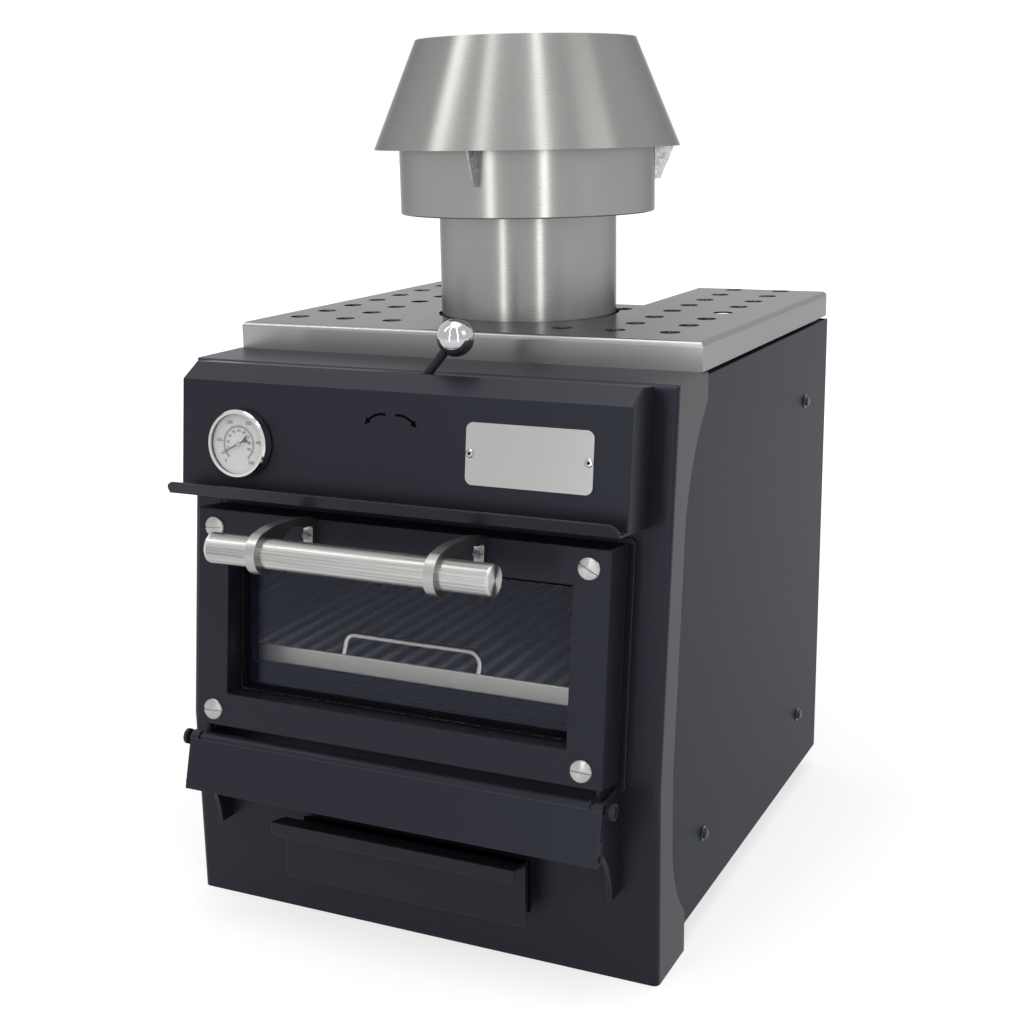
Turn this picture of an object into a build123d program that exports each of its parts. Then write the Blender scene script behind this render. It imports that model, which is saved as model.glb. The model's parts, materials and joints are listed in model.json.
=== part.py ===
"""Charcoal oven: a free-standing sheet-steel oven with a drop-down glass door,
an ash drawer, a chimney with a hat, and a hand-operated chimney damper.

Millimetres. +Z is up, -Y is the front, +X is the right side seen from the front.
The origin is on the floor, at the middle of the footprint's width, in the plane
of the fascia's lower front face.
"""
from math import atan2, asin, sqrt, sin, cos, tan, pi, radians, degrees
import os

from build123d import *

# Cabinet
body_width = 593.0          # over the fascia
half_width = body_width / 2
cabinet_depth = 661.0       # fascia's lower front face to the rear panel
fascia_height = 648.0       # floor to the fascia's top flange
bend_height = 228.0         # where the fascia starts to lean back
top_set_back = 49.8         # how far back its top edge stands
lean = atan2(top_set_back, fascia_height - bend_height)
slope_length = (fascia_height - bend_height) / cos(lean)
sheet = 2.0                 # outer sheet metal
fold_radius = 7.0           # outside radius of the fascia's folds
flange_depth = 43.0         # side flange of the fascia, in its narrow middle
flange_top_depth = 144.0    # the same flange at the top
flange_foot_depth = 85.0    # the same flange at the foot
flange_top_straight = 30.0  # upright stretch of its rear edge at the top
flange_foot_straight = 50.0
flange_top_radius = 214.0   # sweep of the rear edge into the wide top
flange_foot_radius = 129.0
panel_bottom = 30.0         # side and rear panels end this far above the floor
panel_drop = 4.0            # panels end this far below the fascia's top
panel_top = fascia_height - panel_drop
fit_gap = 0.3               # between pieces that only lie beside each other
running_gap = 0.05          # radial, for shafts and pins in their bores

# Fire chamber
chamber_wall = 4.0
side_room = 66.5            # cabinet's outside to the chamber's inner wall
chamber_half_width = half_width - side_room
chamber_floor = 240.0       # top face of its floor
ceiling_drop = 58.0         # fascia's top to the underside of its ceiling
chamber_ceiling = fascia_height - ceiling_drop
rear_room = 95.0            # rear panel's outside to the inner face of its rear wall
chamber_rear = cabinet_depth - rear_room
grate_half_width = chamber_half_width - 90.0
grate_front = 100.0
grate_rear = chamber_rear - 164.0
grate_height = 12.0
chute_margin = 10.0         # the grate overlaps the chute's mouth by this much
insulation_thickness = 38.0
insulation_front = 64.0
insulation_top = chamber_ceiling + 22.0

# Control panel box on the fascia, in distances along and out of the leaning face
panel_half_width = half_width - 25.5
panel_front = 58.0
panel_face_height = 128.0
panel_chamfer_height = 18.5
panel_chamfer_out = 32.5
panel_top_gap = 1.4
panel_chamfer_high = slope_length - panel_top_gap
panel_high = panel_chamfer_high - panel_chamfer_height
panel_low = panel_high - panel_face_height
panel_back_gap = 1.5
lip_floor = 22.0
lip_reach = 32.0
lip_rise = 13.0
lip_corner = 12.0
slot_half_length = 33.0
slot_width = 12.0
name_plate_width = 143.0
name_plate_height = 65.3
name_plate_thickness = 1.2
name_plate_x = panel_half_width - 111.0
name_plate_along = panel_low + 69.3
name_plate_screw_spacing = name_plate_width - 10.0

# Door, in distances along and out of the leaning face
mouth_bottom = 12.0         # along the leaning face, from the bend
mouth_top = panel_low - 23.0
door_half_width = chamber_half_width + 22.0
door_bottom = mouth_bottom - 5.5
door_top = mouth_top + 6.0
door_front = 52.7
door_rear = 6.0
door_sheet = 3.0
window_half_width = chamber_half_width - 19.0
window_bottom = mouth_bottom + 33.0
window_top = mouth_top - 34.5
window_lip = 20.0           # inner flange that carries the glass
window_lip_front = 23.0
glass_thickness = 5.0
window_rope = 7.0           # rope seal round the edge of the recess
surround_half_width = door_half_width + 7.5
surround_bottom = mouth_bottom - 20.0
surround_top = mouth_top + 12.0
surround_thickness = 3.0
surround_bead = 3.5         # width and extra height of its raised rim
surround_bead_rise = 2.0
rope_width = 10.0
screw_head_radius = 11.0
screw_head_height = 3.0
screw_inset_x = 23.0
screw_inset_low = 18.5
screw_inset_high = 21.0

# Door handle
handle_radius = 16.5
handle_wall = 2.0
handle_half_length = 163.3
handle_centre_x = 4.0
handle_reach = 150.0        # bar's centre line, out of the leaning face
handle_along = door_top - 25.3
bracket_spacing = 208.5
bracket_width = 11.6
bracket_ring_wall = 6.3
bracket_foot = 8.0
bracket_top = door_top + 4.4   # highest line of its arch
bracket_foot_length = 40.0
bracket_arch_wall = 7.8
handle_bolt_radius = 5.4    # its hexagon head, over the corners
handle_bolt_head = 4.5

# Hinge line, apron and corbels
hinge_y = -51.0
hinge_z = 220.5
pin_radius = 3.0
pin_flange_radius = 9.0
pin_flange_thickness = 4.0
apron_half_width = door_half_width + 4.5
apron_height = 58.5         # below the hinge line
apron_lean = 15.8
apron_hem_radius = 9.5
hem_end_angle = 102.0       # from the front, over the top
apron_sheet = 2.0
apron_side_flange = 9.0
apron_side_height = 28.0
corbel_inner_x = door_half_width - 5.0
corbel_thickness = 5.0
corbel_foot = 103.0         # underside, above the floor
corbel_foot_depth = 22.2
corbel_sweep = 97.0         # radius of its curved front edge
corbel_boss_radius = 7.0
ear_thickness = 4.0
ear_boss_radius = 7.0
ear_neck_set_back = 7.8     # the ear's neck passes behind the hem
ear_neck_width = 16.0

# Ash drawer, shown pulled out a little
drawer_open = 27.3          # how far the tray's front stands out of the fascia
drawer_half_width = chamber_half_width - 76.6
drawer_plate_bottom = 54.3
drawer_plate_top = 128.8
drawer_sheet = 2.0
drawer_lip_reach = 28.0
drawer_lip_rise = 6.4
drawer_lip_drop = 16.0
tray_half_width = chamber_half_width - 87.5    # clears the stand's legs
tray_bottom = 58.0
tray_top = 118.0
tray_rear = cabinet_depth - 261.0
tray_sheet = 1.5
runner_shelf = 20.0
runner_height = 18.0

# Thermometer on the panel
thermo_x = 83.0 - panel_half_width
thermo_along = panel_low + 60.0
thermo_radius = 38.0
thermo_case_radius = 36.0
thermo_case_depth = 8.0
thermo_dial_radius = 34.0
thermo_stem_radius = 4.0
thermo_stem_length = 150.0
needle_length = 22.0
needle_tail = 11.0
needle_rest_angle = 206.0   # from +X, anticlockwise seen from the front

# Top cover
cover_half_width = half_width - 4.9
cover_front = 140.0
cover_rise = 32.0
cover_top = fascia_height + cover_rise
cover_sheet = 2.0
cover_fold = 6.0

# Chimney
flue_x = 0.0
flue_y = 337.0
flue_radius = 108.0
flue_wall = 2.0
flue_rise = 158.0           # above the cover
flue_top = cover_top + flue_rise
flue_clearance = 4.0
collar_width = 22.0
collar_thickness = 4.0
drum_radius = flue_radius + 46.5
drum_wall = 2.0
drum_bottom = flue_top - 36.0
drum_height = 103.0
drum_top = drum_bottom + drum_height
hat_bottom = drum_top - 26.5
hat_bottom_radius = drum_radius + 30.0
hat_height = 125.5
hat_top = hat_bottom + hat_height
hat_top_radius = hat_bottom_radius - 52.8
hat_wall = 2.0
gusset_thickness = 2.0
gusset_count = 3
gusset_low = hat_bottom - 40.5
gusset_high = hat_bottom + 21.5
gusset_low_reach = 11.0
gusset_angle = 3.2          # first gusset, from the front towards the right
deflector_radius = flue_radius - 12.0
deflector_height = flue_top + 24.0
deflector_leg_width = 12.0
deflector_leg_wall = 3.0
deflector_leg_low = 45.0    # its feet reach this far down inside the flue

# Vent holes and notch of the cover
notch_half_width = flue_radius + flue_clearance
notch_front = flue_y + flue_radius - 3.0
hole_radius = 11.75
hole_rows = 8
hole_pitch_x = 65.0
hole_first_y = 205.0
hole_last_margin = 12.9
hole_pitch_y = (cabinet_depth - hole_last_margin - hole_first_y) / (hole_rows - 1)
hole_right_x = cover_half_width - 59.9
hole_left_x = 41.0 - cover_half_width

# Damper
shaft_z = fascia_height - 24.0
shaft_radius = 6.0
lever_y = 27.0
lever_angle = 41.0          # from upright, towards the right
lever_length = 86.5         # shaft to the knob's centre
lever_radius = 5.0
knob_radius = 20.0
damper_radius = flue_radius - 5.0
damper_thickness = 3.0

# Cooking grill and racks
rack_levels = 3
rack_pitch = 39.0
rack_first = chamber_floor + 59.0          # top face of the lowest rack rail
rack_shelf = 14.0
rack_sheet = 2.0
rack_rear = chamber_rear - 26.0
grill_front = 18.0
grill_bar_height = 21.5
grill_bar_thickness = 4.0
grill_side_gap = 3.0
grill_rod_count = 29
grill_rod_width = 9.0
grill_rod_sheet = 1.6
grill_handle_radius = 2.4
grill_handle_half_width = 86.0
grill_handle_x = -7.0
grill_handle_rise = 23.0
grill_handle_lean = 25.0

# Small hardware
bolt_radius = 5.0
bolt_head_radius = 7.0
foot_radius = 20.0
foot_inset = 45.0
bolt_spots = [(cabinet_depth - 108.0, fascia_height - 99.0), (cabinet_depth - 103.0, 112.5)]
grease_spot = (154.0, 112.7)

os.makedirs("parts", exist_ok=True)

side_face = half_width - sheet - fit_gap


def face(out=0.0):
    """Plane parallel to the leaning face; local x = +X, local y runs up the slope."""
    leaning = Plane(origin=(0, 0, bend_height), x_dir=(1, 0, 0),
                    z_dir=(0, -cos(lean), sin(lean)))
    return leaning.offset(out)


def section(x=0.0):
    """Upright plane across the oven at x; local x points out of the leaning face,
    local y up the slope. Extrusions go towards -X."""
    return Plane(origin=(x, 0, bend_height), x_dir=(0, -cos(lean), sin(lean)),
                 z_dir=(-1, 0, 0))


def profile(x=0.0):
    """Upright plane across the oven at x; local x = +Y, local y = +Z."""
    return Plane(origin=(x, 0, 0), x_dir=(0, 1, 0), z_dir=(1, 0, 0))


def across(y=0.0):
    """Upright plane parallel to the front at y; local x = +X, local y = +Z.
    Extrusions go towards -Y."""
    return Plane(origin=(0, y, 0), x_dir=(1, 0, 0), z_dir=(0, -1, 0))


def set_back(z):
    """How far the fascia's front face stands back at height z."""
    return max(0.0, z - bend_height) * tan(lean)


def sheet_y(z, inside):
    """Y of a surface lying inside the leaning front by that much, at height z."""
    return (z - bend_height) * tan(lean) + inside / cos(lean)


def on_face(out, along):
    """(y, z) of a point given out of and along the leaning face."""
    return (-out * cos(lean) + along * sin(lean),
            bend_height + out * sin(lean) + along * cos(lean))


pieces = {}


def save(part, name):
    """Keep a finished piece; all of them are written at the end."""
    pieces[name] = part


# Fascia: one folded sheet with two curved side flanges and a top flange
with BuildPart() as fascia_outside:
    with BuildSketch(profile()):
        with BuildLine():
            top_back = (flange_top_depth, fascia_height)
            top_corner = (flange_top_depth, fascia_height - flange_top_straight)
            sweep_top = (set_back(fascia_height - 178) + flange_depth, fascia_height - 178)
            elbow = (flange_depth, bend_height)
            sweep_low = (flange_depth, flange_foot_straight + 95)
            foot_corner = (flange_foot_depth, flange_foot_straight)
            foot_back = (flange_foot_depth, 0)
            Polyline(foot_back, (0, 0), (0, bend_height), (top_set_back, fascia_height),
                     top_back, top_corner)
            RadiusArc(top_corner, sweep_top, -flange_top_radius)
            Polyline(sweep_top, elbow, sweep_low)
            RadiusArc(sweep_low, foot_corner, -flange_foot_radius)
            Line(foot_corner, foot_back)
        make_face()
    extrude(amount=half_width, both=True)
    front_faces = fascia_outside.faces().filter_by(lambda f: f.normal_at().Y < -0.9)
    side_folds = front_faces.edges().filter_by(
        lambda e: abs(abs(e.center().X) - half_width) < 0.1)
    top_fold = front_faces.edges().sort_by(Axis.Z)[-1]
    fillet(side_folds + [top_fold], fold_radius)

with BuildPart() as fascia_inside:
    with BuildSketch(profile()):
        with BuildLine():
            bend_inside = sheet * tan(lean / 2)
            Polyline((sheet, -sheet), (sheet, bend_height - bend_inside),
                     (sheet_y(fascia_height - sheet, sheet), fascia_height - sheet),
                     (cabinet_depth, fascia_height - sheet), (cabinet_depth, -sheet),
                     close=True)
        make_face()
    extrude(amount=half_width - sheet, both=True)
    front_faces = fascia_inside.faces().filter_by(lambda f: f.normal_at().Y < -0.9)
    side_folds = front_faces.edges().filter_by(
        lambda e: abs(abs(e.center().X) - half_width + sheet) < 0.1)
    top_fold = front_faces.edges().sort_by(Axis.Z)[-1]
    fillet(side_folds + [top_fold], fold_radius - sheet)

mouth_height = mouth_top - mouth_bottom
mouth_middle = (mouth_top + mouth_bottom) / 2
opening_side_gap = 3.5
opening_bottom = tray_bottom - 1.0
opening_top = tray_top + 2.0
with BuildPart() as fascia:
    add(fascia_outside.part)
    add(fascia_inside.part, mode=Mode.SUBTRACT)
    with BuildSketch(face(sheet)):
        with Locations((0, mouth_middle)):
            Rectangle(2 * chamber_half_width, mouth_height)
    extrude(amount=-4 * sheet, mode=Mode.SUBTRACT)
    with BuildSketch(across(-sheet)):
        with Locations((0, (opening_bottom + opening_top) / 2)):
            Rectangle(2 * (tray_half_width + opening_side_gap), opening_top - opening_bottom)
    extrude(amount=-4 * sheet, mode=Mode.SUBTRACT)
    with BuildSketch(across(0)):
        with Locations((flue_x, shaft_z)):
            Circle(shaft_radius + 1.0)
    extrude(amount=-(top_set_back + 4 * sheet), mode=Mode.SUBTRACT)
    with BuildSketch(face(sheet)):
        with Locations((thermo_x, thermo_along)):
            Circle(thermo_stem_radius + 1.0)
    extrude(amount=-4 * sheet, mode=Mode.SUBTRACT)
save(fascia.part, "front_fascia")

# Side panels: flat sheets with a return flange along the rear
return_flange = 22.0
panel_front_gap = fold_radius + 1.0
for side, name in ((-1, "left"), (1, "right")):
    with BuildPart() as side_panel:
        with BuildSketch(profile(side * side_face)):
            with BuildLine():
                Polyline((panel_front_gap, panel_bottom), (panel_front_gap, bend_height),
                         (set_back(panel_top) + panel_front_gap, panel_top),
                         (cabinet_depth, panel_top), (cabinet_depth, panel_bottom),
                         close=True)
            make_face()
        extrude(amount=-side * sheet)
        with BuildSketch(Plane.XY.offset(panel_bottom)):
            with Locations((side * (side_face - return_flange / 2),
                            cabinet_depth - sheet / 2)):
                Rectangle(return_flange, sheet)
        extrude(amount=panel_top - panel_bottom)
        corner = side_panel.edges().filter_by(Axis.Z).filter_by(
            lambda e: e.center().Y > cabinet_depth - 0.1
            and abs(e.center().X) > side_face - 0.1)
        fillet(corner, sheet * 0.95)
    save(side_panel.part, f"side_panel_{name}")

panel_inside = side_face - sheet
with BuildPart() as rear_panel:
    with BuildSketch(across(cabinet_depth - sheet)):
        with Locations((0, (panel_bottom + panel_top) / 2)):
            Rectangle(2 * panel_inside - 2 * fit_gap, panel_top - panel_bottom)
    extrude(amount=sheet)
save(rear_panel.part, "rear_panel")
rear_inside = cabinet_depth - 2 * sheet

base_top = panel_bottom + sheet
with BuildPart() as base_plate:
    with BuildSketch(Plane.XY.offset(panel_bottom)):
        with BuildLine():
            Polyline((-panel_inside + fit_gap, panel_front_gap),
                     (panel_inside - fit_gap, panel_front_gap),
                     (panel_inside - fit_gap, rear_inside), (-panel_inside + fit_gap, rear_inside),
                     close=True)
        make_face()
    extrude(amount=sheet)
save(base_plate.part, "base_plate")

foot_places = [(sx * (half_width - foot_inset), y) for sx in (-1, 1)
               for y in (foot_inset, cabinet_depth - foot_inset)]
with BuildPart() as feet:
    with Locations(*[(x, y, 0) for x, y in foot_places]):
        Cylinder(foot_radius, 8, align=(Align.CENTER, Align.CENTER, Align.MIN))
    rims = feet.edges().filter_by(GeomType.CIRCLE).group_by(Axis.Z)[-1]
    chamfer(rims, 1.5)
    with Locations(*[(x, y, 8) for x, y in foot_places]):
        Cylinder(foot_radius / 2, panel_bottom - 8,
                 align=(Align.CENTER, Align.CENTER, Align.MIN))
save(feet.part, "feet")

# Roof under the vented cover, and the pads that carry the cover
roof_top = panel_top - 2.0
roof_front = flange_top_depth + 1.0
clear_radius = flue_radius + flue_clearance
with BuildPart() as roof_panel:
    with BuildSketch(Plane.XY.offset(roof_top)):
        with Locations((0, (roof_front + rear_inside) / 2)):
            Rectangle(2 * panel_inside - 2 * fit_gap, rear_inside - roof_front)
        with Locations((flue_x, flue_y)):
            Circle(clear_radius, mode=Mode.SUBTRACT)
    extrude(amount=-sheet)
save(roof_panel.part, "roof_panel")

pad_size = 24.0
pad_places = [(sx * (cover_half_width - 40), y) for sx in (-1, 1)
              for y in (cover_front + 45, (cover_front + cabinet_depth) / 2, cabinet_depth - 30)]
with BuildPart() as cover_supports:
    with BuildSketch(Plane.XY.offset(roof_top)):
        with Locations(*pad_places):
            Rectangle(pad_size, pad_size)
    extrude(amount=cover_top - cover_sheet - roof_top)
save(cover_supports.part, "cover_supports")

# Vented top cover: a U-shaped tray turned upside down, notched for the flue
cover_flange = cover_top - fascia_height
cover_rear = cabinet_depth
cover_middle = (cover_front + cover_rear) / 2
cover_depth = cover_rear - cover_front
hole_columns = [hole_right_x, hole_right_x - hole_pitch_x,
                hole_left_x, hole_left_x + hole_pitch_x]
hole_places = [(x, hole_first_y + hole_pitch_y * row)
               for x in hole_columns for row in range(hole_rows)]
hole_places += [(hole_left_x + 2 * hole_pitch_x, hole_first_y),
                (hole_right_x - 2 * hole_pitch_x, hole_first_y),
                (hole_right_x - 2 * hole_pitch_x, hole_first_y + 3 * hole_pitch_y),
                (hole_left_x + 2 * hole_pitch_x, hole_first_y + 3 * hole_pitch_y)]


def cover_outline(inset):
    """Sketch the cover's plan, drawn in by inset on every side."""
    with BuildSketch() as plan:
        with Locations((0, cover_middle)):
            Rectangle(2 * (cover_half_width - inset), cover_depth - 2 * inset)
        with Locations((0, (notch_front + cover_rear) / 2 + 5 - inset / 2)):
            Rectangle(2 * (notch_half_width + inset), cover_rear - notch_front + 10 + inset,
                      mode=Mode.SUBTRACT)
    return plan.sketch


with BuildPart() as top_cover:
    with BuildSketch(Plane.XY.offset(cover_top - cover_flange)):
        add(cover_outline(0))
    extrude(amount=cover_flange)
    upper_rim = top_cover.faces().sort_by(Axis.Z)[-1].outer_wire().edges().filter_by(
        lambda e: abs(e.center().X) > notch_half_width + 1 or e.center().Y < cover_front + 1)
    fillet(upper_rim.filter_by(
        lambda e: e.center().Y < cover_front + 1 or abs(e.center().X) > cover_half_width - 1),
        cover_fold)
    with BuildSketch(Plane.XY.offset(cover_top - cover_flange - 1)):
        add(cover_outline(cover_sheet))
    extrude(amount=cover_flange + 1 - cover_sheet, mode=Mode.SUBTRACT)
    with BuildSketch(Plane.XY.offset(cover_top)):
        with Locations(*hole_places):
            Circle(hole_radius)
        with Locations((flue_x, flue_y)):
            Circle(clear_radius)
    extrude(amount=-2 * cover_sheet, mode=Mode.SUBTRACT)
    with BuildSketch(Plane.XY.offset(cover_top - cover_flange - 1)):
        with Locations((flue_x, flue_y)):
            Circle(clear_radius)
    extrude(amount=cover_flange + 2, mode=Mode.SUBTRACT)
save(top_cover.part, "top_cover")

# Fire chamber: welded box, open at the mouth, with an ash hole and a flue hole
chamber_outside = chamber_half_width + chamber_wall
chamber_roof = chamber_ceiling + chamber_wall
chamber_back = chamber_rear + chamber_wall
chamber_under = chamber_floor - chamber_wall
chute_half_width = grate_half_width - chute_margin
chute_front = grate_front + chute_margin
chute_rear = grate_rear - chute_margin
with BuildPart() as oven_chamber:
    with BuildSketch(profile()):
        with BuildLine():
            Polyline((sheet_y(chamber_under, sheet), chamber_under),
                     (sheet_y(chamber_roof, sheet), chamber_roof),
                     (chamber_back, chamber_roof), (chamber_back, chamber_under), close=True)
        make_face()
    extrude(amount=chamber_outside, both=True)
    with BuildSketch(profile()):
        with BuildLine():
            inner_face = sheet + chamber_wall
            Polyline((sheet_y(chamber_floor, inner_face), chamber_floor),
                     (sheet_y(chamber_ceiling, inner_face), chamber_ceiling),
                     (chamber_rear, chamber_ceiling), (chamber_rear, chamber_floor), close=True)
        make_face()
    extrude(amount=chamber_half_width, both=True, mode=Mode.SUBTRACT)
    with BuildSketch(face(sheet)):
        with Locations((0, mouth_middle)):
            Rectangle(2 * chamber_half_width, mouth_height)
    extrude(amount=-(chamber_wall + 4 * sheet), mode=Mode.SUBTRACT)
    with BuildSketch(Plane.XY.offset(chamber_under - 1)):
        with Locations((0, (chute_front + chute_rear) / 2)):
            Rectangle(2 * (chute_half_width - sheet), chute_rear - chute_front - 2 * sheet)
    extrude(amount=chamber_wall + 2, mode=Mode.SUBTRACT)
    with BuildSketch(Plane.XY.offset(chamber_ceiling - 1)):
        with Locations((flue_x, flue_y)):
            Circle(flue_radius - flue_wall)
    extrude(amount=chamber_wall + 2, mode=Mode.SUBTRACT)
    with BuildSketch(face(0)):
        with Locations((thermo_x, thermo_along)):
            Circle(thermo_stem_radius + fit_gap)
    extrude(amount=-(chamber_wall + 4 * sheet), mode=Mode.SUBTRACT)
    split(bisect_by=Plane.XY.offset(chamber_ceiling), keep=Keep.BOTH)
    split(bisect_by=Plane.XY.offset(chamber_floor), keep=Keep.BOTH)
save(oven_chamber.part, "oven_chamber")

chute_bottom = tray_top + 5.0
with BuildPart() as ash_chute:
    with BuildSketch(Plane.XY.offset(chute_bottom)):
        with Locations((0, (chute_front + chute_rear) / 2)):
            Rectangle(2 * chute_half_width, chute_rear - chute_front)
            Rectangle(2 * (chute_half_width - sheet), chute_rear - chute_front - 2 * sheet,
                      mode=Mode.SUBTRACT)
    extrude(amount=chamber_under - chute_bottom)
save(ash_chute.part, "ash_chute")

slot_count = 12
slot_pitch = 21.0
slot_width_grate = 10.0
slot_end_margin = 30.0
with BuildPart() as fire_grate:
    with BuildSketch(Plane.XY.offset(chamber_floor)):
        with Locations((0, (grate_front + grate_rear) / 2)):
            RectangleRounded(2 * grate_half_width, grate_rear - grate_front, 8)
            with GridLocations(slot_pitch, (grate_rear - grate_front) / 2 - 10, slot_count, 2):
                Rectangle(slot_width_grate, (grate_rear - grate_front) / 2 - slot_end_margin,
                          mode=Mode.SUBTRACT)
    extrude(amount=grate_height)
save(fire_grate.part, "fire_grate")

stand_foot = 40.0
stand_front = 60.0
stand_rear_margin = 66.0
with BuildPart() as chamber_stand:
    for stand_y in (stand_front, chamber_rear - stand_rear_margin):
        with BuildSketch(across(stand_y)):
            with BuildLine():
                leg_out = chamber_half_width - stand_foot
                leg_in = leg_out - stand_foot * 0.75
                beam_under = chamber_under - stand_foot * 0.75
                Polyline((-leg_out, chamber_under), (-leg_out, base_top), (-leg_in, base_top),
                         (-leg_in, beam_under), (leg_in, beam_under), (leg_in, base_top),
                         (leg_out, base_top), (leg_out, chamber_under), close=True)
            make_face()
        extrude(amount=-stand_foot / 2)
save(chamber_stand.part, "chamber_stand")

insulation_half = chamber_outside + insulation_thickness
collar_radius = flue_radius + collar_width
board_gap = 1.0             # between neighbouring boards, and round the collar
hole_half = collar_radius + board_gap
roof_board_half = chamber_outside - board_gap
roof_board_rear = chamber_back - board_gap
with BuildPart() as insulation:
    with BuildSketch(Plane.XY.offset(chamber_roof)):
        for start, end in ((insulation_front, flue_y - hole_half),
                           (flue_y + hole_half, roof_board_rear)):
            with Locations((0, (start + end) / 2)):
                Rectangle(2 * roof_board_half, end - start)
        for side in (-1, 1):
            with Locations((side * (hole_half + roof_board_half) / 2, flue_y)):
                Rectangle(roof_board_half - hole_half, 2 * (hole_half - board_gap))
    extrude(amount=insulation_top - chamber_roof)
    with BuildSketch(Plane.XY.offset(chamber_under)):
        for side in (-1, 1):
            with Locations((side * (chamber_outside + insulation_half) / 2,
                            (insulation_front + roof_board_rear) / 2)):
                Rectangle(insulation_thickness, roof_board_rear - insulation_front)
    extrude(amount=insulation_top - chamber_under)
    with BuildSketch(across(chamber_back)):
        with Locations((0, (chamber_under + insulation_top) / 2)):
            Rectangle(2 * insulation_half, insulation_top - chamber_under)
    extrude(amount=-insulation_thickness)
save(insulation.part, "insulation")

# Racks on the chamber's side walls, and the sliding grill of V-shaped rods
rack_front = grill_front + grill_bar_thickness + 2.0
with BuildPart() as rack_rails:
    with BuildSketch(across(rack_front)):
        for level in range(rack_levels):
            top = rack_first + level * rack_pitch
            for side in (-1, 1):
                with Locations((side * (chamber_half_width - rack_shelf / 2),
                                top - rack_sheet / 2)):
                    Rectangle(rack_shelf, rack_sheet)
                with Locations((side * (chamber_half_width - rack_sheet / 2), top - 6)):
                    Rectangle(rack_sheet, 12)
    extrude(amount=-(rack_rear - rack_front))
    with BuildSketch(profile()):
        with BuildLine():
            top_z = rack_first + rack_levels * rack_pitch
            Polyline((0, rack_first - 60), (set_back(rack_first - 60) + 9, rack_first - 60),
                     (set_back(top_z) + 9, top_z), (0, top_z), close=True)
        make_face()
    extrude(amount=half_width, both=True, mode=Mode.SUBTRACT)
save(rack_rails.part, "rack_rails")

grill_half = chamber_half_width - grill_side_gap
grill_bottom = rack_first + fit_gap
grill_top = grill_bottom + grill_bar_height
grill_rear = rack_rear - 12.0
rod_span = grill_rear - grill_front - 2 * grill_bar_thickness
rod_pitch = (2 * grill_half - 26.0) / (grill_rod_count - 1)
rod_deep = grill_rod_width * 0.55
with BuildPart() as cooking_grill:
    with BuildSketch(across(grill_front)):
        with Locations((0, (grill_bottom + grill_top) / 2)):
            Rectangle(2 * grill_half, grill_bar_height)
    extrude(amount=-grill_bar_thickness)
    with BuildSketch(across(grill_rear - grill_bar_thickness)):
        with Locations((0, (grill_bottom + grill_top) / 2)):
            Rectangle(2 * grill_half, grill_bar_height)
    extrude(amount=-grill_bar_thickness)
    for side in (-1, 1):
        with BuildSketch(across(grill_front + grill_bar_thickness)):
            with Locations((side * (grill_half - 2), grill_bottom + grill_bar_height / 2)):
                Rectangle(4, grill_bar_height)
        extrude(amount=-rod_span)
    rod_half = grill_rod_width / 2
    wall = grill_rod_sheet * 1.2
    for index in range(grill_rod_count):
        rod_x = (index - (grill_rod_count - 1) / 2) * rod_pitch
        with BuildSketch(across(grill_front + grill_bar_thickness)):
            with BuildLine():
                Polyline((rod_x - rod_half, grill_top - 2), (rod_x, grill_top - 2 - rod_deep),
                         (rod_x + rod_half, grill_top - 2),
                         (rod_x + rod_half - wall, grill_top - 2),
                         (rod_x, grill_top - 2 - rod_deep + wall),
                         (rod_x - rod_half + wall, grill_top - 2), close=True)
            make_face()
        extrude(amount=-rod_span)
save(cooking_grill.part, "cooking_grill")

handle_lean = radians(grill_handle_lean)
grip_plane = Plane(origin=(0, grill_front + grill_bar_thickness / 2, grill_top),
                   x_dir=(1, 0, 0), z_dir=(0, -cos(handle_lean), sin(handle_lean)))
with BuildPart() as grill_handle:
    with BuildLine(grip_plane) as grip_path:
        left_leg = grill_handle_x - grill_handle_half_width
        right_leg = grill_handle_x + grill_handle_half_width
        FilletPolyline((left_leg, 1.0), (left_leg, grill_handle_rise),
                       (right_leg, grill_handle_rise), (right_leg, 1.0), radius=8)
    with BuildSketch(Plane(origin=grip_path.line @ 0, z_dir=grip_path.line % 0)):
        Circle(grill_handle_radius)
    sweep()
save(grill_handle.part, "grill_handle")

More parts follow.
